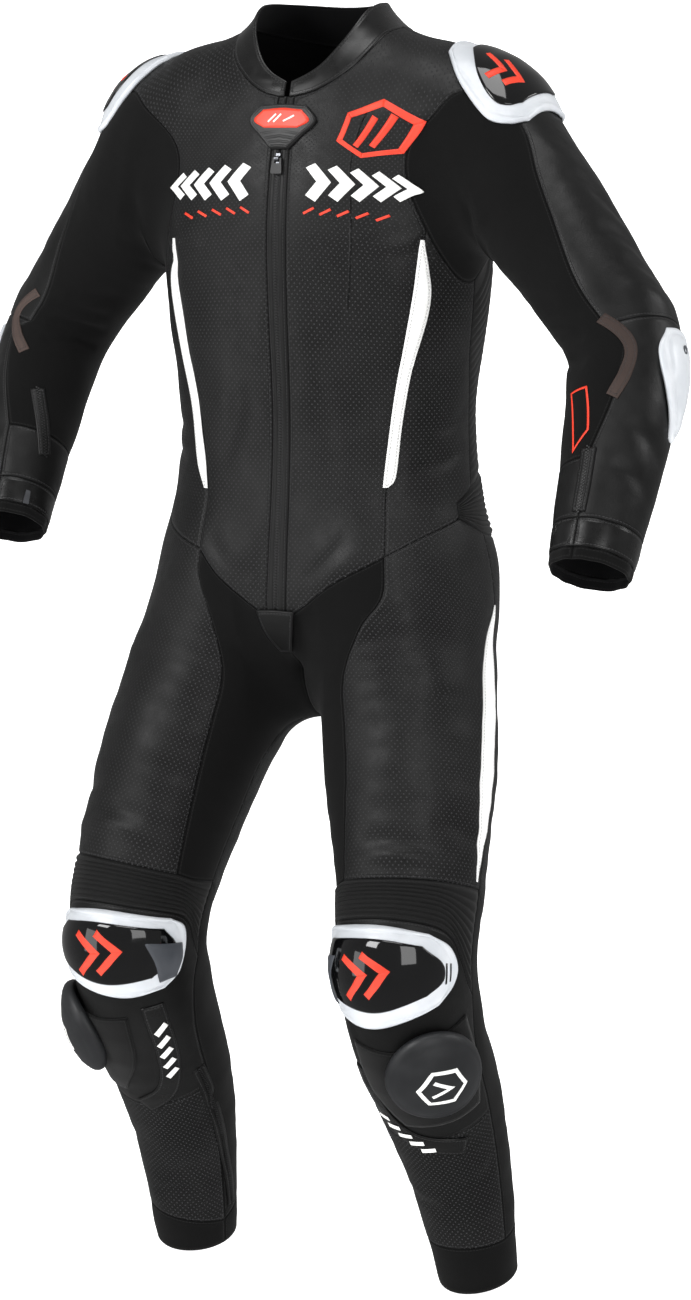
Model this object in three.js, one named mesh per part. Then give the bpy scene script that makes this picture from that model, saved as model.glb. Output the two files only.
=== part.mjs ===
// Motorcycle race suit, one piece, filled out as when it is worn, with no wearer.
// Millimetres, +Z up, the suit faces -Y and the wearer's left is +X.
// The origin lies between the shoulders, at the height of the side neck points.
import * as THREE from 'three';

// Walls and seams
const LEATHER = 2.0;
const STRETCH = 1.6;
const PLACKET_WALL = 2.4;
const SEAM_GAP = 0.3;
const SEAM_STEP = 40;
const CELL = 46;
const ON_LEATHER = LEATHER + 0.9;
const ON_CUP = 6.9;

// Colours
const BLACK = 0x202020;
const BLACK_STRETCH = 0x151515;
const WHITE = 0xf2f2f2;
const RED = 0xf4452b;
const SLATE = 0x4b4e54;
const STEEL = 0x8a8c90;

// The figure the suit is filled out on: rings of the trunk, [height, centre depth, half width, half depth]
const TRUNK = [
  [-690, 8, 118, 64], [-665, 8, 158, 108], [-630, 6, 180, 131], [-570, 4, 181, 129],
  [-500, 2, 170, 120], [-430, 0, 163, 114], [-380, 0, 167, 116], [-300, 0, 178, 123],
  [-220, 2, 184, 128], [-160, 4, 181, 124], [-110, 6, 172, 115], [-70, 7, 158, 103],
  [-40, 7, 134, 90], [-18, 5, 104, 79], [0, 0, 80, 71], [20, -6, 66, 66],
  [45, -13, 61, 62], [75, -22, 58, 60],
];
// Rings of each leg, [x, y, z of the centre, half width, half depth], from the hip to the hem
const LEG = {
  1: [
    [84, 2, -600, 94, 124], [104, -22, -700, 95, 108], [126, -58, -800, 90, 96], [144, -96, -910, 77, 84],
    [150, -118, -990, 72, 78], [152, -96, -1070, 69, 76], [158, -45, -1160, 64, 68],
    [166, -4, -1260, 53, 55], [174, 26, -1378, 42, 45],
  ],
  [-1]: [
    [-84, 2, -600, 94, 124], [-116, -26, -700, 95, 108], [-145, -66, -800, 88, 96],
    [-166, -104, -910, 77, 84], [-174, -120, -990, 72, 78], [-174, -96, -1070, 69, 76],
    [-172, -45, -1160, 63, 66], [-174, -4, -1260, 53, 54], [-178, 26, -1378, 43, 45],
  ],
};
// Rings of each sleeve, in the same columns, from the shoulder to the cuff
const ARM = {
  1: [
    [140, 2, -92, 66, 74], [186, -6, -126, 78, 76], [232, -26, -166, 72, 72], [283, -50, -215, 66, 66],
    [336, -74, -272, 60, 61], [380, -92, -330, 58, 58], [392, -132, -398, 55, 54],
    [396, -178, -472, 48, 48], [396, -226, -556, 41, 41],
  ],
  [-1]: [
    [-140, 4, -92, 66, 74], [-186, 10, -126, 78, 76], [-222, 16, -170, 72, 72], [-264, 24, -222, 66, 66],
    [-310, 30, -280, 60, 60], [-350, 32, -337, 57, 57], [-354, -10, -402, 54, 54],
    [-348, -58, -470, 48, 48], [-340, -108, -552, 40, 40],
  ],
};
const TRUNK_SQUARENESS = 2.2;
const BLEND = { arm: 44, leg: 30, crotch: 16 };
const FRONT = new THREE.Vector3(0, -1, 0);
const RAD = Math.PI / 180;

// A smooth curve through rows of numbers at rising parameters, and its value at x
function smooth(xs, rows, x) {
  let k = 0;
  while (k < xs.length - 2 && x >= xs[k + 1]) k += 1;
  const slope = (i, c) => {
    const lo = Math.max(i - 1, 0);
    const hi = Math.min(i + 1, xs.length - 1);
    return (rows[hi][c] - rows[lo][c]) / (xs[hi] - xs[lo]);
  };
  const h = xs[k + 1] - xs[k];
  const t = THREE.MathUtils.clamp((x - xs[k]) / h, -0.5, 1.5);
  const t2 = t * t;
  const t3 = t2 * t;
  return rows[k].map((_, c) => (2 * t3 - 3 * t2 + 1) * rows[k][c] + (t3 - 2 * t2 + t) * h * slope(k, c)
    + (3 * t2 - 2 * t3) * rows[k + 1][c] + (t3 - t2) * h * slope(k + 1, c));
}

// A limb as a fine chain of rings: centres, half sizes and cross axes
function chainOf(rows) {
  const PER_ROW = 4;
  const index = rows.map((_, i) => i);
  const count = (rows.length - 1) * PER_ROW;
  const rings = [];
  for (let i = 0; i <= count; i += 1) {
    const [x, y, z, a, b] = smooth(index, rows, i / PER_ROW);
    rings.push({ c: new THREE.Vector3(x, y, z), a, b });
  }
  rings.forEach((ring, i) => {
    const next = rings[Math.min(i + 1, count)].c;
    const last = rings[Math.max(i - 1, 0)].c;
    const d = next.clone().sub(last).normalize();
    ring.e2 = FRONT.clone().addScaledVector(d, -FRONT.dot(d)).normalize();
    ring.e1 = ring.e2.clone().cross(d);
  });
  return rings.slice(1).map((ring, i) => {
    const start = rings[i];
    const w = ring.c.clone().sub(start.c);
    return {
      c: start.c, w, len2: w.lengthSq(), dir: w.clone().normalize(), a0: start.a, b0: start.b,
      da: ring.a - start.a, db: ring.b - start.b,
      e1: start.e1.clone().add(ring.e1).multiplyScalar(0.5),
      e2: start.e2.clone().add(ring.e2).multiplyScalar(0.5),
    };
  });
}
const CHAIN = { arm: {}, leg: {} };
for (const side of [1, -1]) {
  CHAIN.arm[side] = chainOf(ARM[side]);
  CHAIN.leg[side] = chainOf(LEG[side]);
}
const TRUNK_HEIGHTS = TRUNK.map((row) => row[0]);
const TRUNK_SIZES = TRUNK.map((row) => row.slice(1));

// Rough distance from the trunk's surface, below zero inside
function trunkField(p) {
  const low = TRUNK_HEIGHTS[0];
  const high = TRUNK_HEIGHTS[TRUNK_HEIGHTS.length - 1];
  const [cy, a, b] = smooth(TRUNK_HEIGHTS, TRUNK_SIZES, THREE.MathUtils.clamp(p.z, low, high));
  const over = Math.max(low - p.z, 0) + Math.max(p.z - high, 0);
  const m = Math.min(a, b);
  const q = Math.abs(p.x / a) ** TRUNK_SQUARENESS + Math.abs((p.y - cy) / b) ** TRUNK_SQUARENESS;
  return (Math.hypot(q ** (1 / TRUNK_SQUARENESS), over / m) - 1) * m;
}

// The same for a limb: the least over its segments
const q = new THREE.Vector3();
function limbField(p, chain) {
  let best = 1e9;
  for (const s of chain) {
    q.copy(p).sub(s.c);
    const t = THREE.MathUtils.clamp(q.dot(s.w) / s.len2, 0, 1);
    q.addScaledVector(s.w, -t);
    const a = s.a0 + t * s.da;
    const b = s.b0 + t * s.db;
    const m = (a + b) / 2;
    best = Math.min(best, (Math.hypot(q.dot(s.e1) / a, q.dot(s.e2) / b, q.dot(s.dir) / m) - 1) * m);
  }
  return best;
}

// A rounded union of two distances
function blend(a, b, k) {
  const h = Math.max(k - Math.abs(a - b), 0) / k;
  return Math.min(a, b) - (h * h * k) / 4;
}
function field(p) {
  const legs = blend(limbField(p, CHAIN.leg[1]), limbField(p, CHAIN.leg[-1]), BLEND.crotch);
  let f = blend(trunkField(p), legs, BLEND.leg);
  f = blend(f, limbField(p, CHAIN.arm[1]), BLEND.arm);
  return blend(f, limbField(p, CHAIN.arm[-1]), BLEND.arm);
}
function normalAt(p) {
  const h = 0.5;
  const n = new THREE.Vector3();
  for (const axis of ['x', 'y', 'z']) {
    const a = p.clone();
    const b = p.clone();
    a[axis] += h;
    b[axis] -= h;
    n[axis] = field(a) - field(b);
  }
  return n.normalize();
}
function castRay(from, dir) {
  const STEP = 6;
  let lo = 8;
  let hi = lo + STEP;
  const p = new THREE.Vector3();
  const at = (r) => field(p.copy(from).addScaledVector(dir, r));
  while (at(hi) <= 0 && hi < 400) {
    lo = hi;
    hi += STEP;
  }
  for (let i = 0; i < 18; i += 1) {
    const mid = (lo + hi) / 2;
    if (at(mid) <= 0) lo = mid;
    else hi = mid;
  }
  return from.clone().addScaledVector(dir, (lo + hi) / 2);
}

// Coordinates on a limb: v runs along its axis in millimetres, and th goes round it in degrees,
// 0 at the front and 90 on the outer side. Rays leave the axis in rings that may tilt or cone.
class Limb {
  constructor(kind, side, rows) {
    this.kind = kind;
    this.side = side;
    this.v = rows.map((row) => row.v);
    this.rows = rows.map((row) => [...row.c, ...row.n, row.cone || 0]);
  }

  frame(v) {
    const row = smooth(this.v, this.rows, v);
    const c = new THREE.Vector3(row[0], row[1], row[2]);
    const n = new THREE.Vector3(row[3], row[4], row[5]).normalize();
    const e2 = FRONT.clone().addScaledVector(n, -FRONT.dot(n)).normalize();
    const turn = this.kind === 'trunk' ? -this.side : this.side;
    const e1 = e2.clone().cross(n).multiplyScalar(turn);
    return { c, n, e1, e2, cone: row[6] * RAD };
  }

  point(v, th) {
    const { c, n, e1, e2, cone } = this.frame(v);
    const dir = e1.multiplyScalar(Math.sin(th * RAD)).addScaledVector(e2, Math.cos(th * RAD));
    dir.multiplyScalar(Math.cos(cone)).addScaledVector(n, Math.sin(cone));
    return castRay(c, dir);
  }

  inverse(p) {
    let lo = this.v[0];
    let hi = this.v[this.v.length - 1];
    for (let i = 0; i < 32; i += 1) {
      const mid = (lo + hi) / 2;
      const { c, n, cone } = this.frame(mid);
      const d = p.clone().sub(c);
      const ax = d.dot(n);
      const rho = d.addScaledVector(n, -ax).length();
      if (ax * Math.cos(cone) - rho * Math.sin(cone) > 0) lo = mid;
      else hi = mid;
    }
    const v = (lo + hi) / 2;
    const { c, e1, e2 } = this.frame(v);
    const d = p.clone().sub(c);
    return [v, Math.atan2(d.dot(e1), d.dot(e2)) / RAD];
  }
}

// Rings of the trunk coordinates: label, height of the ray's start, cone angle
const TRUNK_RAYS = [
  [-760, -760, 0], [-640, -640, 0], [-420, -420, 0], [-340, -325, -6], [-270, -228, -14], [-215, -165, -17],
  [-160, -135, -10], [-110, -122, 0], [-75, -118, 13], [-40, -115, 30], [-10, -112, 48], [20, -108, 63],
  [45, -100, 67], [75, -88, 70.5],
];
const ARM_TILT = [56, 38, 14, 2];
const LEG_TILT = [-16, -8, -2];
function trunkLimb(side) {
  return new Limb('trunk', side, TRUNK_RAYS.map(([v, z, cone]) => ({ v, c: [0, 0, z], n: [0, 0, 1], cone })));
}
// A limb's rings follow its centreline, tilted by the given angles at its root
function limbAlong(kind, side, table, tilts, root) {
  const centres = table.map((row) => new THREE.Vector3(row[0], row[1], row[2]));
  const rows = [root];
  let v = 0;
  centres.forEach((c, i) => {
    if (i > 0) v += c.distanceTo(centres[i - 1]);
    const next = centres[Math.min(i + 1, centres.length - 1)];
    const last = centres[Math.max(i - 1, 0)];
    const first = next.clone().sub(c);
    const back = c.clone().sub(last);
    const d = first.add(back).normalize();
    const e2 = FRONT.clone().addScaledVector(d, -FRONT.dot(d)).normalize();
    const e1 = e2.cross(d).multiplyScalar(side);
    const tilt = (tilts[i] || 0) * RAD;
    const n = d.multiplyScalar(Math.cos(tilt)).addScaledVector(e1, Math.sin(tilt));
    rows.push({ v, c: c.toArray(), n: n.toArray() });
  });
  if (!root.n) root.n = rows[1].n;
  return new Limb(kind, side, rows);
}
const BODY = {};
for (const side of [1, -1]) {
  BODY[side] = {
    trunk: trunkLimb(side),
    arm: limbAlong('arm', side, ARM[side].slice(1), ARM_TILT, {
      v: -70, c: [118 * side, 4, -104], n: [side, 0, 0.12],
    }),
    leg: limbAlong('leg', side, LEG[side], LEG_TILT, { v: -150, c: [76 * side, 0, -455] }),
  };
}

// A seam or edge: a smooth line through a few [v, th] points of a limb, cut into even steps
function line(limb, pts, step = SEAM_STEP) {
  const index = pts.map((_, i) => i);
  const FINE = 24;
  const fine = [];
  for (let i = 0; i <= FINE; i += 1) {
    const [v, th] = smooth(index, pts, (i / FINE) * (pts.length - 1));
    fine.push({ v, th, p: limb.point(v, th) });
  }
  const along = [0];
  for (let i = 1; i <= FINE; i += 1) along.push(along[i - 1] + fine[i].p.distanceTo(fine[i - 1].p));
  const total = along[FINE];
  const count = Math.max(1, Math.round(total / step));
  const out = [];
  for (let i = 0; i <= count; i += 1) {
    const want = (total * i) / count;
    let k = 0;
    while (k < FINE - 1 && along[k + 1] < want) k += 1;
    const t = THREE.MathUtils.clamp((want - along[k]) / (along[k + 1] - along[k] || 1), 0, 1);
    const v = fine[k].v + t * (fine[k + 1].v - fine[k].v);
    const th = fine[k].th + t * (fine[k + 1].th - fine[k].th);
    out.push(limb.point(v, th));
  }
  return out;
}
const join = (...lines) => lines.reduce((all, part) => all.concat(all.length ? part.slice(1) : part), []);
const back = (points) => points.slice().reverse();
// Ties the end of one line to the start of another, so that both share the point
function tie(points, end, target) {
  points[end === 0 ? 0 : points.length - 1] = target.clone();
  return points;
}
const first = (points) => points[0];
const last = (points) => points[points.length - 1];

// Triangles over a set of flat points whose outline is convex, each free of other points (Delaunay)
function triangulate(points) {
  const far = 1e4;
  const all = points.concat([[-far, -far], [far, -far], [0, far]]);
  const n = points.length;
  const circle = (tri) => {
    const [[ax, ay], [bx, by], [cx, cy]] = tri.map((i) => all[i]);
    const d = 2 * (ax * (by - cy) + bx * (cy - ay) + cx * (ay - by));
    const a2 = ax * ax + ay * ay;
    const b2 = bx * bx + by * by;
    const c2 = cx * cx + cy * cy;
    const x = (a2 * (by - cy) + b2 * (cy - ay) + c2 * (ay - by)) / d;
    const y = (a2 * (cx - bx) + b2 * (ax - cx) + c2 * (bx - ax)) / d;
    return { tri, x, y, r2: (ax - x) ** 2 + (ay - y) ** 2 };
  };
  let tris = [circle([n, n + 1, n + 2])];
  for (let i = 0; i < n; i += 1) {
    const [px, py] = all[i];
    const hit = tris.filter((t) => (px - t.x) ** 2 + (py - t.y) ** 2 < t.r2);
    const edges = new Map();
    for (const { tri } of hit) {
      for (let k = 0; k < 3; k += 1) {
        const a = tri[k];
        const b = tri[(k + 1) % 3];
        if (edges.has(`${b},${a}`)) edges.delete(`${b},${a}`);
        else edges.set(`${a},${b}`, [a, b]);
      }
    }
    tris = tris.filter((t) => !hit.includes(t));
    for (const [a, b] of edges.values()) tris.push(circle([a, b, i]));
  }
  return tris.map((t) => t.tri).filter((tri) => tri.every((i) => i < n));
}

const suit = new THREE.Group();
function addMesh(name, geometry, color, roughness = 0.6, metalness = 0) {
  const mesh = new THREE.Mesh(geometry, new THREE.MeshStandardMaterial({ color, roughness, metalness }));
  mesh.name = name;
  suit.add(mesh);
  return mesh;
}

// The net of [v, th] points inside four edges: first a blend of the edges, then evened out so that no
// row crosses another (Winslow's smoothing of a grid). Ribbed pieces keep the plain blend.
function relax(coords, rows, cols, at, ribs) {
  const ROUNDS = 80;
  const MM_PER_DEGREE = 2;
  const [c00, c10] = [coords.bottom[0], last(coords.bottom)];
  const [c01, c11] = [coords.top[0], last(coords.top)];
  const net = [];
  for (let i = 0; i <= rows; i += 1) {
    net.push([]);
    for (let j = 0; j <= cols; j += 1) {
      let s = j / cols;
      const t = i / rows;
      if (ribs && j === 1) s = ribs.margin;
      if (ribs && j === cols - 1) s = 1 - ribs.margin;
      const [b, u, l, r] = [at(coords.bottom, s), at(coords.top, s), at(coords.left, t), at(coords.right, t)];
      net[i].push([0, 1].map((c) => (1 - t) * b[c] + t * u[c] + (1 - s) * l[c] + s * r[c]
        - (1 - s) * (1 - t) * c00[c] - s * (1 - t) * c10[c] - (1 - s) * t * c01[c] - s * t * c11[c]));
    }
  }
  if (ribs) return net;
  const scale = [1, MM_PER_DEGREE];
  for (let round = 0; round < ROUNDS; round += 1) {
    for (let i = 1; i < rows; i += 1) {
      for (let j = 1; j < cols; j += 1) {
        const [e, w, n, o] = [net[i][j + 1], net[i][j - 1], net[i + 1][j], net[i - 1][j]];
        const ds = [0, 1].map((c) => ((e[c] - w[c]) / 2) * scale[c]);
        const dt = [0, 1].map((c) => ((n[c] - o[c]) / 2) * scale[c]);
        const alpha = dt[0] ** 2 + dt[1] ** 2;
        const beta = ds[0] * dt[0] + ds[1] * dt[1];
        const gamma = ds[0] ** 2 + ds[1] ** 2;
        net[i][j] = [0, 1].map((c) => {
          const upper = net[i + 1][j + 1][c] - net[i + 1][j - 1][c];
          const cross = (upper - net[i - 1][j + 1][c] + net[i - 1][j - 1][c]) / 4;
          const sum = alpha * (e[c] + w[c]) + gamma * (n[c] + o[c]);
          return (sum - 2 * beta * cross) / (2 * (alpha + gamma) + 1e-9);
        });
      }
    }
  }
  return net;
}

// A piece of cloth between four edges: a wall over the figure, its inner side on the figure's surface.
// sides: bottom and top run from left to right, left and right from bottom to top.
// lift moves the piece out, crown(v, th) domes it, ribs raises rows of its outer points, and folds are
// rows of [share of the way from bottom to top, height] that the whole wall follows.
function piece(name, limb, sides, color, options = {}) {
  const { wall = LEATHER, lift = 0, cell = CELL, ribs = null, crown = null } = options;
  const { gap = SEAM_GAP, roughness = 0.6, folds = [] } = options;
  const edges = sides;
  let turn = null;
  const loopOrder = [['bottom', false], ['right', false], ['top', true], ['left', true]];
  const coords = {};
  for (const [key, reversed] of loopOrder) {
    const pts = reversed ? back(sides[key]) : sides[key];
    const vt = pts.map((p) => {
      const [v, th] = limb.inverse(p);
      const near = turn === null ? th : th + 360 * Math.round((turn - th) / 360);
      turn = near;
      return [v, near];
    });
    coords[key] = reversed ? vt.reverse() : vt;
  }
  const length = (pts) => pts.slice(1).reduce((sum, p, i) => sum + p.distanceTo(pts[i]), 0);
  const middle = (pts) => pts[Math.floor(pts.length / 2)];
  const across = (a, b, c, d) => Math.max(
    (length(edges[a]) + length(edges[b])) / 2,
    middle(edges[c]).distanceTo(middle(edges[d])),
  );
  const tall = across('left', 'right', 'bottom', 'top');
  const wide = across('bottom', 'top', 'left', 'right');
  const rows = ribs ? 2 * ribs.count + 2 : Math.max(1, Math.round(tall / cell));
  const cols = Math.max(1, Math.round(wide / (ribs ? ribs.cell : cell)));
  const at = (vt, f) => {
    const x = f * (vt.length - 1);
    const k = Math.min(Math.floor(x), vt.length - 2);
    return [0, 1].map((c) => vt[k][c] + (x - k) * (vt[k + 1][c] - vt[k][c]));
  };
  const loop = [];
  const bulge = 0.04;
  const put = (p, [v, th], x, y) => loop.push({ p: p.clone(), v, th, x, y });
  const walk = (key, f) => {
    const pts = edges[key];
    const n = pts.length - 1;
    for (let i = 0; i < n; i += 1) f(pts, coords[key], n, i);
  };
  const arch = (f, size) => bulge * size * 4 * f * (1 - f);
  walk('bottom', (pts, vt, n, i) => put(pts[i], vt[i], (i / n) * cols, -arch(i / n, rows)));
  walk('right', (pts, vt, n, i) => put(pts[i], vt[i], cols + arch(i / n, cols), (i / n) * rows));
  walk('top', (pts, vt, n, i) => put(pts[n - i], vt[n - i], (1 - i / n) * cols, rows + arch(i / n, rows)));
  walk('left', (pts, vt, n, i) => put(pts[n - i], vt[n - i], -arch(i / n, cols), (1 - i / n) * rows));
  const inner = [];
  const net = relax(coords, rows, cols, at, options.plainNet ? { margin: 1 / cols } : ribs);
  const folded = (i) => folds.some(([t]) => Math.abs(t * rows - i) < 0.3);
  for (let i = 1; i < rows; i += 1) {
    for (let j = 1; j < cols && !folded(i); j += 1) {
      const [v, th] = net[i][j];
      const raised = ribs && i > 1 && i < rows - 1 - (ribs.plainTop || 0) && i % 2 === 0;
      const k = i * 31 + j;
      inner.push({
        p: limb.point(v, th), v, th, rib: raised ? ribs.height : 0,
        x: j + 1e-4 * Math.sin(12.9 * k), y: i + 1e-4 * Math.sin(78.2 * k),
      });
    }
  }
  // Extra rows of points carry the folds that cross the piece, each deepest in the middle
  for (const [t, height] of folds) {
    const i = Math.min(Math.floor(t * rows), rows - 1);
    const f = t * rows - i;
    for (let j = 1; j < cols; j += 1) {
      const [v, th] = [0, 1].map((c) => (1 - f) * net[i][j][c] + f * net[i + 1][j][c]);
      const fold = height * Math.sin((Math.PI * j) / cols);
      inner.push({ p: limb.point(v, th), v, th, fold, x: j + 1e-4 * Math.sin(7 * j), y: t * rows });
    }
  }
  const points = loop.concat(inner);
  const tris = triangulate(points.map(({ x, y }) => [x, y]));
  for (const point of points) point.n = normalAt(point.p);
  // The edge is drawn in by half the seam gap, along the surface
  const centre = points.reduce((sum, { p }) => sum.add(p), new THREE.Vector3()).divideScalar(points.length);
  const count = loop.length;
  const inward = loop.map((point, i) => {
    const next = loop[(i + 1) % count];
    return point.n.clone().cross(next.p.clone().sub(point.p)).normalize();
  });
  const facing = loop.reduce((sum, { p }, i) => sum + inward[i].dot(centre.clone().sub(p)), 0) >= 0 ? 1 : -1;
  const moved = loop.map((point, i) => {
    const m0 = inward[(i + count - 1) % count];
    const m1 = inward[i];
    const size = (facing * gap) / 2 / Math.max(1 + m0.dot(m1), 0.35);
    return point.p.clone().addScaledVector(m0, size).addScaledVector(m1, size);
  });
  const order = loop.map(({ p }) => p.x + 1.7 * p.y + 2.3 * p.z);
  loop.forEach((point, i) => point.p.copy(moved[i]));
  const verts = [];
  const dome = ({ v, th }) => (crown ? crown(v, th) : 0);
  for (const point of points) {
    const out = lift + (options.flatBack ? 0 : dome(point)) + (point.fold || 0);
    verts.push(...point.p.clone().addScaledVector(point.n, out).toArray());
  }
  for (const point of points) {
    const out = lift + dome(point) + wall + (point.rib || 0) + (point.fold || 0);
    verts.push(...point.p.clone().addScaledVector(point.n, out).toArray());
  }
  const total = points.length;
  const faces = [];
  for (const [a, b, c] of tris) {
    faces.push([a + total, b + total, c + total], [a, c, b]);
  }
  for (let i = 0; i < count; i += 1) {
    const a = i;
    const b = (i + 1) % count;
    // Both pieces at a seam split the wall's edge along the same diagonal
    if (order[a] < order[b]) faces.push([a, b, b + total], [a, b + total, a + total]);
    else faces.push([a, b, a + total], [b, b + total, a + total]);
  }
  // Turn the faces out if the edges ran the other way round
  const A = new THREE.Vector3();
  const B = new THREE.Vector3();
  const C = new THREE.Vector3();
  let sign = 0;
  for (const [a, b, c] of tris) {
    A.fromArray(verts, 3 * (a + total));
    B.fromArray(verts, 3 * (b + total)).sub(A);
    C.fromArray(verts, 3 * (c + total)).sub(A);
    sign += B.cross(C).dot(points[a].n);
  }
  const index = faces.flatMap(([a, b, c]) => (sign > 0 ? [a, b, c] : [a, c, b]));
  const geometry = new THREE.BufferGeometry();
  geometry.setAttribute('position', new THREE.Float32BufferAttribute(verts, 3));
  geometry.setIndex(index);
  return addMesh(name, geometry, color, roughness);
}

// A patch laid on the cloth, given by the [v, th] points of its four edges
function patch(name, limb, { bottom, top, left, right }, color, options = {}) {
  const step = options.step || 16;
  const sides = {
    bottom: line(limb, bottom, step),
    top: line(limb, top, step),
    left: line(limb, left || [bottom[0], top[0]], step),
    right: line(limb, right || [last(bottom), last(top)], step),
  };
  tie(sides.left, 0, first(sides.bottom));
  tie(sides.left, 1, first(sides.top));
  tie(sides.right, 0, last(sides.bottom));
  tie(sides.right, 1, last(sides.top));
  return piece(name, limb, sides, color, { cell: 16, gap: 0, lift: ON_LEATHER, plainNet: true, ...options });
}

// Where the seams run on each side. Trunk lines are [v, th] on the trunk, and so on.
const PLACKET = 5.2;
// Seams that the worn suit has in other places on each side. Rows are [v, th].
const CUT = {
  1: {
    princess: [[-561, 47], [-489, 51], [-426, 54], [-350, 57], [-270, 60]],
    stretch: [[30, 14], [69, 1], [126, -15], [181, -18], [235, -21]],
    knee: [[345, -92], [343, -74], [341, -55], [337, -34], [338, 0], [340, 50], [343, 95]],
    ribFoot: [
      [432, -89], [404, -80], [383, -70], [374, -54], [371, 0],
      [377, 42], [388, 62], [410, 74], [438, 84], [452, 90],
    ],
    hem: [[770, -72], [768, 0], [774, 72]],
  },
  [-1]: {
    princess: [[-561, 38], [-489, 43], [-426, 49], [-350, 55], [-270, 58]],
    stretch: [[23, 3], [69, -10], [126, -27], [181, -33], [238, -38]],
    knee: [[346, -92], [348, -74], [349, -62], [347, -48], [348, 0], [350, 50], [347, 95]],
    ribFoot: [
      [440, -90], [414, -81], [394, -71], [385, -54], [383, 0],
      [388, 42], [399, 62], [420, 75], [444, 84], [455, 90],
    ],
    hem: [[798, -72], [783, 0], [776, 72]],
  },
};
const SEAMS = {};
function mirrorCentre(pts) {
  pts[0].x = 0;
  return pts;
}
function centreSeam() {
  const FRONT_TOP = BODY[1].trunk.point(-634, 0);
  const BACK_TOP = BODY[1].trunk.point(-568, 180);
  const hub = new THREE.Vector3(0, 4, -625);
  const angle = (p) => Math.atan2(-(p.z - hub.z), -(p.y - hub.y));
  const from = angle(FRONT_TOP);
  const to = angle(BACK_TOP) < 0 ? angle(BACK_TOP) + 2 * Math.PI : angle(BACK_TOP);
  const crotch = Math.PI / 2;
  const arc = (a0, a1, count) => Array.from({ length: count + 1 }, (_, i) => {
    const a = a0 + ((a1 - a0) * i) / count;
    return castRay(hub, new THREE.Vector3(0, -Math.cos(a), -Math.sin(a)));
  });
  return { front: arc(from, crotch, 4), rear: arc(crotch, to, 6) };
}
const CENTRE = centreSeam();
const NECK = [[-57, 0], [-57, PLACKET], [-51, 20], [-33, 42], [-13, 66], [-6, 90]];
const NECK_BACK = [[-6, 90], [-11, 115], [-15, 145], [-16, 180]];
const COLLAR_END = 1.6;
const COLLAR_TOP = [
  [-41, COLLAR_END], [-28, 20], [-9, 38], [8, 56], [17, 74], [21, 95], [22, 130], [24, 180],
];
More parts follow.
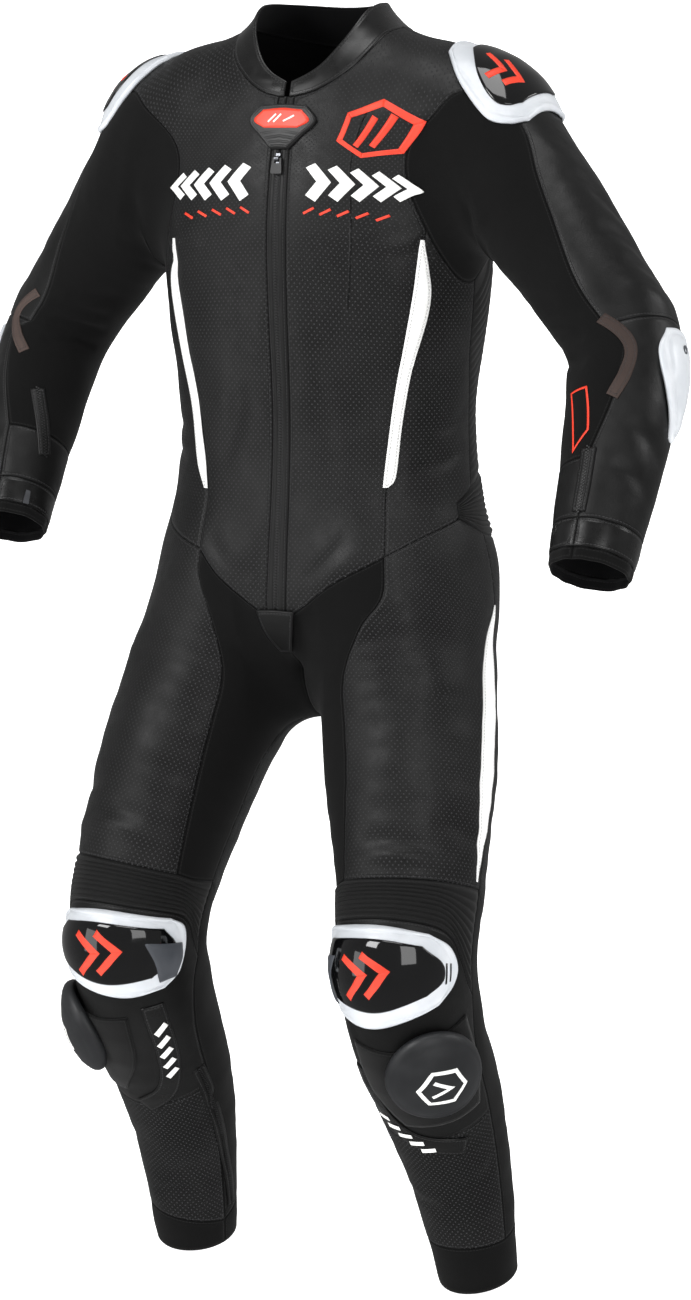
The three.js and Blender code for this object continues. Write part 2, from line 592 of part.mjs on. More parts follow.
for (const side of [1, -1]) {
  const { trunk, arm, leg } = BODY[side];
  const cut = CUT[side];
  const waistSide = first(cut.princess);
  const k = (arm.v[arm.v.length - 1]) / 559;
  const armRows = (rows) => rows.map(([v, th]) => [v * k, th]);
  const S = {};
  // Armhole, from the shoulder top down the front, under the arm and up the back
  S.hole1 = line(arm, [[58, 90], [46, 67]]);
  S.hole2 = line(arm, [[46, 67], [24, 50], [-3, 24], [-48, -9], [-60, -31], [-51, -54]]);
  S.hole3 = line(arm, [[-51, -54], [-46, -68], [-41, -84]]);
  S.hole4 = line(arm, [[-41, -84], [-33, -98], [-26, -112]]);
  S.hole5 = line(arm, [[-26, -112], [0, -150], [20, -182], [40, -215], [50, -247]]);
  S.hole6 = line(arm, [[50, -247], [58, -270]]);
  tie(S.hole6, 1, first(S.hole1));
  // Shoulder seam and neckline
  const shoulder = trunk.inverse(first(S.hole1));
  S.shoulder = line(trunk, [shoulder, [-40, 89], [-6, 90]]);
  tie(S.shoulder, 0, first(S.hole1));
  S.neck0 = mirrorCentre(line(trunk, [[-57, 0], [-57, PLACKET]]));
  S.neck1 = line(trunk, NECK.slice(1));
  S.neck2 = mirrorCentre(back(line(trunk, NECK_BACK)));
  tie(S.neck1, 1, last(S.shoulder));
  tie(S.neck2, 1, last(S.shoulder));
  // Waist seam: a V in front, then the upper and lower edges of the lumbar band
  S.waist0 = mirrorCentre(line(trunk, [[-634, 0], [-630, PLACKET]]));
  S.waist1 = line(trunk, [[-630, PLACKET], [-615, 15], [-590, 28], waistSide]);
  S.waist2 = line(trunk, [waistSide, [-542, 62], [-526, 79]]);
  S.bandEnd = line(trunk, [[-526, 79], [-510, 79]]);
  S.upper1 = line(trunk, [[-510, 79], [-494, 90]]);
  S.upper2 = line(trunk, [[-494, 90], [-478, 112]]);
  S.upper3 = line(trunk, [[-478, 112], [-468, 145], [-465, 180]]);
  S.lower1 = line(trunk, [[-526, 79], [-545, 93]]);
  S.lower2 = line(trunk, [[-545, 93], [-558, 118], [-566, 150], [-568, 180]]);
  tie(S.waist1, 0, last(S.waist0));
  tie(S.waist0, 0, first(CENTRE.front));
  tie(S.lower2, 1, last(CENTRE.rear));
  // Lengthwise seams of the trunk
  S.placket = line(trunk, [[-630, PLACKET], [-340, PLACKET], [-57, PLACKET]]);
  tie(S.placket, 0, last(S.waist0));
  tie(S.placket, 1, last(S.neck0));
  S.zip = Array.from({ length: S.placket.length }, (_, i) => {
    const v = -634 + ((634 - 57) * i) / (S.placket.length - 1);
    const p = trunk.point(v, 0);
    p.x = 0;
    return p;
  });
  tie(S.zip, 0, first(S.waist0));
  tie(S.zip, 1, first(S.neck0));
  const yoke = trunk.inverse(last(S.hole2));
  S.princess = line(trunk, [...cut.princess, yoke]);
  tie(S.princess, 1, last(S.hole2));
  S.sideSeam = line(trunk, [[-494, 90], [-423, 93], [-343, 87], trunk.inverse(last(S.hole3))]);
  tie(S.sideSeam, 1, last(S.hole3));
  S.backSeam = line(trunk, [[-478, 112], [-400, 114], [-320, 112], trunk.inverse(last(S.hole4))]);
  tie(S.backSeam, 1, last(S.hole4));
  // Sleeve seams
  S.sleeveFront = line(arm, armRows([
    [46 / k, 67], [87, 66], [128, 43], [172, 27], [216, 14], [261, 6], [300, 8],
  ]));
  tie(S.sleeveFront, 0, last(S.hole1));
  S.sleeveBack = line(arm, armRows([
    [50 / k, 113], [87, 116], [128, 137], [172, 153], [216, 166], [261, 174], [300, 172],
  ]));
  tie(S.sleeveBack, 0, first(S.hole6));
  S.elbow = line(arm, armRows([[300, 8], [296, 50], [294, 90], [296, 130], [300, 172]]));
  S.foreFront = line(arm, armRows([[300, 8], [326, 26], [380, 15], [449, -7]]));
  S.foreBack = line(arm, armRows([[300, 172], [326, 154], [380, 165], [449, 187]]));
  S.stretchEnd = line(arm, armRows([[449, -7], [451, -50], [452, -90], [451, -130], [449, -173]]));
  S.wristFront = line(arm, armRows([[449, -7], [513, -7]]));
  S.wristBack = line(arm, armRows([[449, 187], [513, 187]]));
  S.cuffTop1 = line(arm, armRows([[513, -7], [513, 40], [513, 90], [513, 140], [513, 187]]), 30);
  S.cuffTop2 = line(arm, armRows([[513, 187], [513, 270], [513, 353]]), 30);
  S.cuffEnd = line(arm, armRows([[556, -7], [556, 80], [556, 173], [556, 266], [556, 353]]), 26);
  S.slit = line(arm, armRows([[556, -7], [513, -7]]));
  // Leg seams
  const [kneeInner, kneeOuter] = [first(cut.knee), last(cut.knee)];
  S.stretch = line(leg, [leg.inverse(trunk.point(...waistSide)), ...cut.stretch, cut.knee[3]]);
  tie(S.stretch, 0, last(S.waist1));
  const hip = leg.inverse(last(S.lower1));
  S.legSide = line(leg, [hip, [40, 100], [130, 101], [250, 97], kneeOuter]);
  tie(S.legSide, 0, last(S.lower1));
  const apex = leg.inverse(CENTRE.rear[0]);
  S.inseam = line(leg, [apex, [190, -88], [260, -90], kneeInner]);
  tie(S.inseam, 0, CENTRE.rear[0]);
  S.knee0 = line(leg, cut.knee.slice(0, 3));
  S.knee1 = line(leg, cut.knee.slice(2, 4));
  S.knee2 = line(leg, cut.knee.slice(3));
  S.kneeRear = line(leg, [kneeOuter, [380, 130], [396, 180], [382, 230], [kneeInner[0], kneeInner[1] + 360]]);
  S.ribEnd1 = line(leg, [kneeInner, first(cut.ribFoot)]);
  S.ribEnd2 = line(leg, [kneeOuter, last(cut.ribFoot)]);
  S.ribFoot = line(leg, cut.ribFoot, 11);
  S.kneeIn = line(leg, [first(cut.ribFoot), [470, -78], [520, -69], [600, -66]]);
  S.kneeOut = line(leg, [last(cut.ribFoot), [520, 81], [600, 76]]);
  S.shinTop = line(leg, [[600, -66], [606, 0], [600, 76]]);
  S.shinIn = line(leg, [[600, -66], [690, -68], first(cut.hem)]);
  S.shinOut = line(leg, [[600, 76], [690, 74], last(cut.hem)]);
  S.hemTop1 = line(leg, cut.hem, 30);
  S.hemTop2 = line(leg, [last(cut.hem), [772, 180], [cut.hem[0][0], 288]], 30);
  S.hemEnd = line(leg, [[829, -72], [829, 18], [829, 108], [829, 198], [829, 288]], 30);
  S.hemSlit = line(leg, [[829, -72], first(cut.hem)]);
  SEAMS[side] = S;
}

// The largest folds, as rows of [share of the way up the piece, height]
const FOLDS = {
  insideElbow: [[0.5, 0], [0.535, -4], [0.57, 1.5], [0.61, -4.5], [0.65, 1.5], [0.69, -4], [0.73, 0]],
  outsideSleeve: [[0.5, 0], [0.56, -3], [0.63, 1.5], [0.7, -3.5], [0.77, 1.5], [0.84, -3], [0.91, 0]],
  overKnee: [[0.02, 0], [0.05, 3], [0.085, -3.5], [0.12, 1], [0.16, -2.5], [0.2, 0]],
  thighBack: [[0.03, 0], [0.07, -3.5], [0.11, 1], [0.15, -3], [0.19, 0]],
  behindKnee: [[0.76, 0], [0.8, -4], [0.84, 1.5], [0.88, -4.5], [0.925, 1], [0.96, -3], [0.985, 0]],
  ankle: [[0.2, 0], [0.27, -3], [0.34, 1], [0.41, -3], [0.48, 0]],
  smallOfBack: [[0.04, 0], [0.08, -3], [0.12, 1], [0.16, -3], [0.2, 0]],
};

// Pieces in pairs
const SIDE_NAME = { 1: 'L', [-1]: 'R' };
for (const side of [1, -1]) {
  const { trunk, arm, leg } = BODY[side];
  const S = SEAMS[side];
  const tag = SIDE_NAME[side];
  const cloth = { wall: STRETCH, roughness: 0.9 };
  piece(`front_panel_${tag}`, trunk, {
    bottom: S.waist1, left: S.placket, top: join(S.neck1, back(S.shoulder)),
    right: join(S.princess, back(S.hole2), back(S.hole1)),
  }, BLACK, { cell: 42 });
  piece(`zip_placket_${tag}`, trunk, {
    bottom: S.waist0, left: S.zip, top: S.neck0, right: S.placket,
  }, BLACK, { wall: PLACKET_WALL });
  piece(`side_front_${tag}`, trunk, {
    bottom: join(S.waist2, S.bandEnd, S.upper1), left: S.princess, top: S.hole3, right: S.sideSeam,
  }, BLACK);
  piece(`side_stretch_${tag}`, trunk, { bottom: S.upper2, left: S.sideSeam, top: S.hole4, right: S.backSeam },
    BLACK_STRETCH, { ...cloth, ribs: { count: 22, height: 1.6, cell: 18, margin: 0.08, plainTop: 4 } });
  piece(`upper_sleeve_${tag}`, arm, {
    bottom: join(back(S.hole1), back(S.hole6)), left: S.sleeveFront, top: S.elbow, right: S.sleeveBack,
  }, BLACK, { folds: FOLDS.outsideSleeve });
  piece(`sleeve_stretch_${tag}`, arm, {
    bottom: join(S.hole2, S.hole3, S.hole4, S.hole5), left: join(S.sleeveFront, S.foreFront),
    top: S.stretchEnd, right: join(S.sleeveBack, S.foreBack),
  }, BLACK_STRETCH, { ...cloth, folds: FOLDS.insideElbow });
  piece(`forearm_outer_${tag}`, arm, {
    bottom: S.elbow, left: join(S.foreFront, S.wristFront),
    top: S.cuffTop1, right: join(S.foreBack, S.wristBack),
  }, BLACK);
  piece(`forearm_under_${tag}`, arm, {
    bottom: S.stretchEnd, left: S.wristFront, top: back(S.cuffTop2), right: S.wristBack,
  }, BLACK);
  piece(`cuff_band_${tag}`, arm, {
    bottom: S.cuffEnd, left: S.slit, top: join(S.cuffTop1, S.cuffTop2), right: S.slit,
  }, BLACK, { roughness: 0.35 });
  piece(`crotch_stretch_${tag}`, leg, {
    bottom: back(S.knee1).concat(back(S.knee0).slice(1)), left: back(S.stretch),
    top: back(join(S.waist0, S.waist1)), right: back(join(CENTRE.front, S.inseam)),
  }, BLACK_STRETCH, cloth);
  piece(`thigh_front_${tag}`, leg, {
    bottom: S.knee2, left: back(S.stretch), top: join(S.waist2, S.lower1), right: back(S.legSide),
  }, BLACK, { folds: FOLDS.overKnee });
  piece(`thigh_back_${tag}`, leg, {
    bottom: S.kneeRear, left: back(S.legSide), top: S.lower2, right: join(back(S.inseam), CENTRE.rear),
  }, BLACK, { folds: FOLDS.thighBack });
  piece(`knee_stretch_${tag}`, leg, {
    bottom: S.ribFoot, left: back(S.ribEnd1), top: join(S.knee0, S.knee1, S.knee2), right: back(S.ribEnd2),
  }, BLACK_STRETCH, { ...cloth, ribs: { count: 9, height: 2.2, cell: 17, margin: 0.04 } });
  piece(`knee_panel_${tag}`, leg, {
    bottom: S.shinTop, left: back(S.kneeIn), top: S.ribFoot, right: back(S.kneeOut),
  }, BLACK_STRETCH);
  piece(`shin_front_${tag}`, leg, {
    bottom: S.hemTop1, left: back(S.shinIn), top: S.shinTop, right: back(S.shinOut),
  }, BLACK, { folds: FOLDS.ankle });
  piece(`calf_${tag}`, leg, {
    bottom: S.hemTop2, left: back(join(S.ribEnd2, S.kneeOut, S.shinOut)),
    top: S.kneeRear, right: back(join(S.ribEnd1, S.kneeIn, S.shinIn)),
  }, BLACK_STRETCH, { ...cloth, folds: FOLDS.behindKnee });
  piece(`hem_${tag}`, leg, {
    bottom: S.hemEnd, left: S.hemSlit, top: join(S.hemTop1, S.hemTop2), right: S.hemSlit,
  }, BLACK_STRETCH, cloth);
}

// Pieces across the middle
const T = BODY[1].trunk;
const [SL, SR] = [SEAMS[1], SEAMS[-1]];
piece('back_panel', T, {
  bottom: join(SL.upper3, back(SR.upper3)),
  left: join(SL.backSeam, SL.hole5, SL.hole6),
  top: join(SL.shoulder, back(SL.neck2), SR.neck2, back(SR.shoulder)),
  right: join(SR.backSeam, SR.hole5, SR.hole6),
}, BLACK, { cell: 38, folds: FOLDS.smallOfBack });
piece('lumbar_stretch', T, {
  bottom: join(SL.lower1, SL.lower2, back(SR.lower2), back(SR.lower1)),
  left: SL.bandEnd,
  top: join(SL.upper1, SL.upper2, SL.upper3, back(SR.upper3), back(SR.upper2), back(SR.upper1)),
  right: SR.bandEnd,
}, BLACK_STRETCH, { wall: STRETCH, ribs: { count: 9, height: 2.2, cell: 34, margin: 0.03 } });
const collarTop = (side) => line(BODY[side].trunk, COLLAR_TOP, 30);
const collarFoot = (side) => line(BODY[side].trunk, [[-57, COLLAR_END], [-57, PLACKET]]);
const collarEnd = (side) => line(BODY[side].trunk, [[-57, COLLAR_END], [-41, COLLAR_END]]);
const topL = collarTop(1);
const topR = collarTop(-1);
topL[topL.length - 1].x = 0;
tie(topR, 1, last(topL));
const footL = join(tie(collarFoot(1), 1, first(SL.neck1)), SL.neck1);
const footR = join(tie(collarFoot(-1), 1, first(SR.neck1)), SR.neck1);
const endL = tie(tie(collarEnd(1), 0, first(footL)), 1, first(topL));
const endR = tie(tie(collarEnd(-1), 0, first(footR)), 1, first(topR));
piece('collar', T, {
  bottom: join(footL, back(SL.neck2), SR.neck2, back(footR)),
  left: endL, top: join(topL, back(topR)), right: endR,
}, BLACK, { wall: 2.6, cell: 30, roughness: 0.35 });

// Pieces laid on the cloth. A dome rises by its height over the middle of a patch and dies at its rim.
const domeOf = ({ v, th, dv, dth, height }) => (pv, pth) => {
  const r2 = ((pv - v) / dv) ** 2 + ((pth - th) / dth) ** 2;
  return height * Math.max(0, 1 - r2);
};
const SHOULDER_DOME = { v: 43, th: 97, dv: 46, dth: 45, height: 10 };
const KNEE_DOME = { th: -2, dth: 64, height: 12 };
const KNEE_CUP = { 1: { top: 376, tall: 83 }, [-1]: { top: 388, tall: 73 } };
const ELBOW_DOME = { v: 352, th: 96, dv: 48, dth: 36, height: 11 };
const CUP_WALL = 3;
const PUCK_RADIUS = 48;
const PUCK_PLACE = { 1: [511, 34], [-1]: [516, 54] };
const FRONT_STRIPE = {
  1: {
    bottom: [[-489, 49.4], [-489, 51.4]],
    left: [[-489, 49.4], [-426, 52.8], [-350, 56], [-285, 58.6], [-226, 60.6]],
    right: [[-489, 51.4], [-477, 54.6], [-368, 60], [-287, 65.2], [-226, 62]],
    top: [[-226, 60.6], [-226, 62]],
  },
  [-1]: {
    bottom: [[-497, 42], [-497, 44]],
    left: [[-497, 42], [-430, 48.5], [-370, 52.5], [-296, 55], [-229, 57]],
    right: [[-497, 44], [-470, 50], [-368, 58.5], [-287, 62.5], [-229, 58.6]],
    top: [[-229, 57], [-229, 58.6]],
  },
};
// The same edges with v stretched, and counted from another place
const scaled = (edges, k, from = 0) => Object.fromEntries(Object.entries(edges)
  .map(([key, rows]) => [key, rows.map(([v, th]) => [from + v * k, th])]));
for (const side of [1, -1]) {
  const { trunk, arm, leg } = BODY[side];
  const tag = SIDE_NAME[side];
  const k = arm.v[arm.v.length - 1] / 559;
  patch(`front_stripe_${tag}`, trunk, FRONT_STRIPE[side], WHITE, {
    wall: 1.2, step: 30, lift: ON_LEATHER + 0.3,
  });
  patch(`side_stripe_${tag}`, leg, {
    bottom: [[336, 86], [336, 88]],
    left: [[336, 86], [250, 81], [130, 81], [60, 87], [12, 95]],
    right: [[336, 88], [250, 98], [130, 101], [60, 99], [12, 97]],
    top: [[12, 95], [12, 97]],
  }, WHITE, { wall: 1.2, step: 30, lift: ON_LEATHER + 0.2 });
  patch(`shoulder_cup_${tag}`, arm, scaled({
    bottom: [[4, 74], [-3, 96], [4, 122]],
    left: [[4, 74], [28, 58], [60, 50], [80, 58], [89, 72]],
    top: [[89, 72], [86, 90], [84, 112]],
    right: [[4, 122], [35, 138], [58, 138], [75, 128], [84, 112]],
  }, k), WHITE, { wall: CUP_WALL, crown: domeOf(SHOULDER_DOME), roughness: 0.3 });
  patch(`shoulder_insert_${tag}`, arm, scaled({
    bottom: [[20, 84], [17, 97], [20, 112]],
    left: [[20, 84], [38, 69], [58, 62], [71, 66], [77, 76]],
    top: [[77, 76], [76, 92], [73, 108]],
    right: [[20, 112], [36, 122], [54, 124], [66, 117], [73, 108]],
  }, k), BLACK, { wall: 1.2, lift: ON_CUP + 0.7, crown: domeOf(SHOULDER_DOME), roughness: 0.1 });
  const elbowDome = domeOf({ ...ELBOW_DOME, v: ELBOW_DOME.v * k });
  patch(`elbow_cup_${tag}`, arm, scaled({
    bottom: [[306, 72], [302, 95], [306, 118]],
    left: [[306, 72], [330, 60], [368, 72], [404, 92]],
    top: [[404, 92], [405, 98], [404, 104]],
    right: [[306, 118], [330, 132], [368, 124], [404, 104]],
  }, k), WHITE, { wall: CUP_WALL, lift: ON_LEATHER - 0.5, crown: elbowDome, roughness: 0.3 });
  // Rows of the knee cup are [share of the way down it, th]
  const { top, tall } = KNEE_CUP[side];
  const kneeDome = domeOf({ ...KNEE_DOME, v: top + tall / 2, dv: tall / 2 });
  patch(`knee_cup_${tag}`, leg, scaled({
    bottom: [[0.95, -46], [1, -8], [0.82, 46]],
    left: [[0.95, -46], [0.76, -63], [0.42, -70], [0.13, -66], [0.02, -52]],
    top: [[0.02, -52], [0, 0], [0.09, 40]],
    right: [[0.82, 46], [0.66, 62], [0.46, 68], [0.24, 60], [0.09, 40]],
  }, tall, top), WHITE, { wall: CUP_WALL, crown: kneeDome, roughness: 0.3 });
  patch(`knee_insert_${tag}`, leg, scaled({
    bottom: [[0.75, -36], [0.8, 0], [0.68, 36]],
    left: [[0.75, -36], [0.56, -54], [0.34, -57], [0.15, -46]],
    top: [[0.15, -46], [0.13, 0], [0.2, 34]],
    right: [[0.68, 36], [0.56, 50], [0.38, 50], [0.2, 34]],
  }, tall, top), BLACK, { wall: 1.2, lift: ON_CUP + 0.6, crown: kneeDome, roughness: 0.1 });
  // The hook-and-loop field and the slider puck on it, round on the cloth
  const [pv, pth] = PUCK_PLACE[side];
  const perDegree = leg.point(pv, pth).distanceTo(leg.point(pv, pth + 10)) / 10;
  const around = (radius, from, to) => Array.from({ length: 4 }, (_, i) => {
    const a = (from + ((to - from) * i) / 3) * RAD;
    return [pv - radius * Math.cos(a), pth + (radius * Math.sin(a)) / perDegree];
  });
  const round = (radius) => ({
    top: around(radius, -45, 45), right: around(radius, 135, 45),
    bottom: around(radius, 225, 135), left: around(radius, 225, 315),
  });
  patch(`slider_base_${tag}`, leg, {
    bottom: [[pv + 66, pth - 40], [pv + 70, pth], [pv + 66, pth + 30]],
    left: [[pv + 66, pth - 40], [pv + 16, pth - 62], [pv - 36, pth - 66]],
    top: [[pv - 36, pth - 66], [pv - 32, pth - 20], [pv - 46, pth + 40]],
    right: [[pv + 66, pth + 30], [pv + 11, pth + 44], [pv - 46, pth + 40]],
  }, BLACK_STRETCH, { wall: 1.2, step: 18, cell: 18, lift: ON_LEATHER + 0.8 });
  const reach = PUCK_RADIUS * 1.02;
  const puckDome = domeOf({ v: pv, th: pth, dv: reach, dth: reach / perDegree, height: 11 });
  patch(`knee_slider_${tag}`, leg, round(PUCK_RADIUS), SLATE, {
    wall: 13, lift: ON_LEATHER + 3, crown: puckDome, flatBack: true, step: 18, cell: 18,
  });
}
// The zip garage on the chest and the patch that ends the zip in front of the crotch
const GARAGE_DOME = { v: -92, th: 0, dv: 40, dth: 24, height: 2.5 };
patch('zip_garage', T, {
  bottom: [[-127, -5], [-127, 5]],
  left: [[-127, -5], [-108, -12], [-88, -20], [-70, -14.5]],
  top: [[-70, -14.5], [-67, 0], [-70, 14.5]],
  right: [[-127, 5], [-108, 12], [-88, 20], [-70, 14.5]],
}, RED, { wall: 2.4, lift: 3.2, crown: domeOf(GARAGE_DOME), flatBack: true });
patch('zip_end_patch', T, {
  bottom: [[-666, -4.5], [-666, 4.5]],
  left: [[-666, -4.5], [-645, -8], [-622, -10]],
  top: [[-622, -10], [-621, 0], [-622, 10]],
  right: [[-666, 4.5], [-645, 8], [-622, 10]],
}, BLACK, { wall: 1.8, lift: 3.4 });

// The chest zip's slider with its bridge, and the pull tab that hangs from the bridge
const SLIDER = { width: 5, height: 14, base: 2, bridge: 2.9, bore: 1.5, pivot: 3.7 };
const PULL = { width: 13, drop: 16, thick: 1.4, bar: 0.8, window: 5.8, windowDrop: 5, corner: 2 };
function onSurface(limb, v, th, out, along) {
  const p = limb.point(v, th);
  const n = normalAt(p);
  const z = along.clone().addScaledVector(n, -along.dot(n)).normalize();
  const x = n.clone().negate().cross(z);
  const group = new THREE.Group();
  group.setRotationFromMatrix(new THREE.Matrix4().makeBasis(x, n.clone().negate(), z));
  group.position.copy(p).addScaledVector(n, out);
  suit.add(group);
  return group;
}
function pullPlate({ width, drop, thick, bar, window, windowDrop, corner }) {
  const w = width / 2;
  const shape = new THREE.Shape();
  shape.moveTo(-w + corner, -drop);
  shape.lineTo(w - corner, -drop);
  shape.quadraticCurveTo(w, -drop, w, -drop + corner);
  shape.lineTo(w * 0.75, bar - 0.4);
  shape.lineTo(w * 0.75 - 0.4, bar);
  shape.lineTo(-w * 0.75 + 0.4, bar);
  shape.lineTo(-w * 0.75, bar - 0.4);
  shape.lineTo(-w, -drop + corner);
  shape.quadraticCurveTo(-w, -drop, -w + corner, -drop);
  if (window) {
    const hole = new THREE.Path();
    hole.moveTo(-window / 2, -bar);
    hole.lineTo(-window / 2, -windowDrop);
    hole.lineTo(window / 2, -windowDrop);
    hole.lineTo(window / 2, -bar);
    hole.closePath();
    shape.holes.push(hole);
  }
  const plate = new THREE.ExtrudeGeometry(shape, { depth: thick, bevelEnabled: false, curveSegments: 4 });
  plate.translate(0, 0, -thick / 2);
  plate.rotateX(Math.PI / 2);
  return plate;
}
function sliderSolid({ width, height, base, bridge, bore, pivot }) {
  const shape = new THREE.Shape();
  const h = height / 2;
  shape.moveTo(0, -h);
  shape.lineTo(base, -h + 1);
  shape.lineTo(base, -bridge);
  shape.lineTo(pivot, -bridge);
  shape.absarc(pivot, 0, bridge, -Math.PI / 2, Math.PI / 2, false);
  shape.lineTo(base, bridge);
  shape.lineTo(base, h - 1);
  shape.lineTo(0, h);
  const hole = new THREE.Path();
  hole.absarc(pivot, 0, bore, 0, 2 * Math.PI, true);
  shape.holes.push(hole);
  const solid = new THREE.ExtrudeGeometry(shape, { depth: width, bevelEnabled: false, curveSegments: 8 });
  solid.translate(0, 0, -width / 2);
  solid.rotateX(Math.PI / 2);
  solid.rotateZ(-Math.PI / 2);
  return solid;
}
const UP = new THREE.Vector3(0, 0, 1);
const zipHead = onSurface(T, -143, 0, PLACKET_WALL + 0.4, UP);
const slider = addMesh('zip_slider', sliderSolid(SLIDER), STEEL, 0.35, 0.9);
const pull = addMesh('zip_pull', pullPlate(PULL), BLACK, 0.5);
zipHead.add(slider, pull);
pull.position.y = -SLIDER.pivot;
// The right cuff's zip pull, hanging beside the cuff opening
const cuff = BODY[-1].arm;
const CUFF_PULL = { width: 7, drop: 15, thick: 1.4, bar: 0.8, window: 0, windowDrop: 0, corner: 1.5 };
const cuffEnd = cuff.v[cuff.v.length - 1];
const cuffAlong = cuff.point(cuffEnd - 45, -50).sub(cuff.point(cuffEnd - 20, -50)).normalize();
const cuffHead = onSurface(cuff, cuffEnd - 30, -50, LEATHER + 0.5 + CUFF_PULL.thick / 2, cuffAlong);
cuffHead.add(addMesh('cuff_pull_R', pullPlate(CUFF_PULL), STEEL, 0.35, 0.9));

export default suit;
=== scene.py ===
import math

import bmesh
import bpy
import numpy as np
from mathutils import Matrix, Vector


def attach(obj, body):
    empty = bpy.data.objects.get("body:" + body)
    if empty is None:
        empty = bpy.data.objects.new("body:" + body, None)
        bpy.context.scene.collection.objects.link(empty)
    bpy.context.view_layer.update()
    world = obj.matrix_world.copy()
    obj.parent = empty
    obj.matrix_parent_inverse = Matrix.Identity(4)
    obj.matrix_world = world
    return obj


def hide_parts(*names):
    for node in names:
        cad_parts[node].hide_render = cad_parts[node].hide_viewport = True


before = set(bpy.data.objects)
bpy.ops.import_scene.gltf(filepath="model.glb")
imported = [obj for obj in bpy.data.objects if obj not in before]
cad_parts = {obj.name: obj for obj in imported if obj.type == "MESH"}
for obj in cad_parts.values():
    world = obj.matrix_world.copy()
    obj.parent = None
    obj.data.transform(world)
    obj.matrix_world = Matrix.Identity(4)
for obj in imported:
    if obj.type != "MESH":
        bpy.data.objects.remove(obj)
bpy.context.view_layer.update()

# Photo studio: a camera at eye height a little to the suit's left, and the pale sweep it stands on.
# The camera sees the whole suit through a long lens, as product pictures are taken.
AZIMUTH = math.radians(25)
ELEVATION = math.radians(8)
TARGET = Vector((0.022, 0.0, -0.680))
DISTANCE = 4.2
SENSOR = 36.0
SEEN_HEIGHT = 1.430
away = Vector((math.sin(AZIMUTH) * math.cos(ELEVATION), -math.cos(AZIMUTH) * math.cos(ELEVATION),
               math.sin(ELEVATION)))
camera = bpy.data.objects.new("camera", bpy.data.cameras.new("camera"))
camera.location = TARGET + away * DISTANCE
camera.rotation_euler = away.to_track_quat("Z", "Y").to_euler()
camera.data.sensor_width = SENSOR
camera.data.lens = SENSOR * DISTANCE / SEEN_HEIGHT
bpy.context.scene.collection.objects.link(camera)
bpy.context.scene.camera = camera

FLOOR = -1.389


def linear(code):
    """A six digit sRGB colour as linear RGBA."""
    parts = [int(code[i:i + 2], 16) / 255 for i in (0, 2, 4)]
    return tuple(c / 12.92 if c <= 0.04045 else ((c + 0.055) / 1.055) ** 2.4 for c in parts) + (1.0,)


def add(tree, kind, inputs=None, **settings):
    """Adds one node; settings are its properties, and inputs are values or sockets for its own sockets."""
    made = tree.nodes.new(kind)
    for key, value in settings.items():
        setattr(made, key, value)
    for key, value in (inputs or {}).items():
        if isinstance(value, bpy.types.NodeSocket):
            tree.links.new(value, made.inputs[key])
        else:
            made.inputs[key].default_value = value
    return made


def new_material(name):
    """An empty material and its node tree."""
    material = bpy.data.materials.new(name)
    material.use_nodes = True
    material.node_tree.nodes.clear()
    return material, material.node_tree


def mesh_from_grid(name, points, materials):
    """One quad mesh from an array of rows x columns x 3 points in metres."""
    rows, cols = points.shape[:2]
    index = np.arange(rows * cols).reshape(rows, cols)
    quads = np.stack([index[:-1, :-1], index[:-1, 1:], index[1:, 1:], index[1:, :-1]], axis=-1).reshape(-1, 4)
    mesh = bpy.data.meshes.new(name)
    mesh.from_pydata(points.reshape(-1, 3).tolist(), [], quads.tolist())
    for material in materials:
        mesh.materials.append(material)
    made = bpy.data.objects.new(name, mesh)
    bpy.context.scene.collection.objects.link(made)
    return made


sweep, tree = new_material("paper_matt_coated")
paper = add(tree, "ShaderNodeBsdfPrincipled", {
    "Base Color": linear("f4f4f4"), "Roughness": 0.9, "Emission Color": linear("ffffff"),
    "Emission Strength": 1.1})
add(tree, "ShaderNodeOutputMaterial", {"Surface": paper.outputs[0]})
SWEEP_REACH, SWEEP_BEND, SWEEP_RADIUS = 14.0, 12.0, 1.2
bend = np.linspace(0, math.pi / 2, 17)
curve = np.stack([SWEEP_BEND + SWEEP_RADIUS * np.sin(bend), FLOOR + SWEEP_RADIUS - SWEEP_RADIUS * np.cos(bend)],
                 axis=-1)
profile = np.concatenate([[[-SWEEP_REACH, FLOOR]], curve, [[SWEEP_BEND + SWEEP_RADIUS, SWEEP_REACH]]])
across = np.linspace(-SWEEP_REACH, SWEEP_REACH, 3)
grid = np.stack([np.broadcast_to(across[None, :], (len(profile), 3)),
                 np.broadcast_to(profile[:, :1], (len(profile), 3)),
                 np.broadcast_to(profile[:, 1:], (len(profile), 3))], axis=-1)
backdrop = mesh_from_grid("paper_sweep", grid, [sweep])
backdrop.visible_glossy = False
backdrop.data.polygons.foreach_set("use_smooth", [True] * len(backdrop.data.polygons))
LAMP_AIM = Vector((0, 0, -0.65))
for name, place, power, size in [
        ("key_softbox", (-1.5, -3.4, 1.5), 84, 1.5), ("fill_softbox", (2.9, -3.1, 0.7), 40, 1.9),
        ("top_softbox", (0.3, -0.7, 2.6), 38, 1.6), ("rim_softbox", (2.9, 1.2, 1.1), 24, 1.0),
        ("low_softbox", (-2.2, -2.6, -1.0), 16, 1.4)]:
    light = bpy.data.lights.new(name, "AREA")
    light.energy = power
    light.size = size
    lamp = bpy.data.objects.new(name, light)
    lamp.location = place
    lamp.rotation_euler = (Vector(place) - LAMP_AIM).to_track_quat("Z", "Y").to_euler()
    bpy.context.scene.collection.objects.link(lamp)
world = bpy.data.worlds.new("studio_air")
world.use_nodes = True
world.node_tree.nodes["Background"].inputs["Color"].default_value = linear("ffffff")
world.node_tree.nodes["Background"].inputs["Strength"].default_value = 0.28
bpy.context.scene.world = world
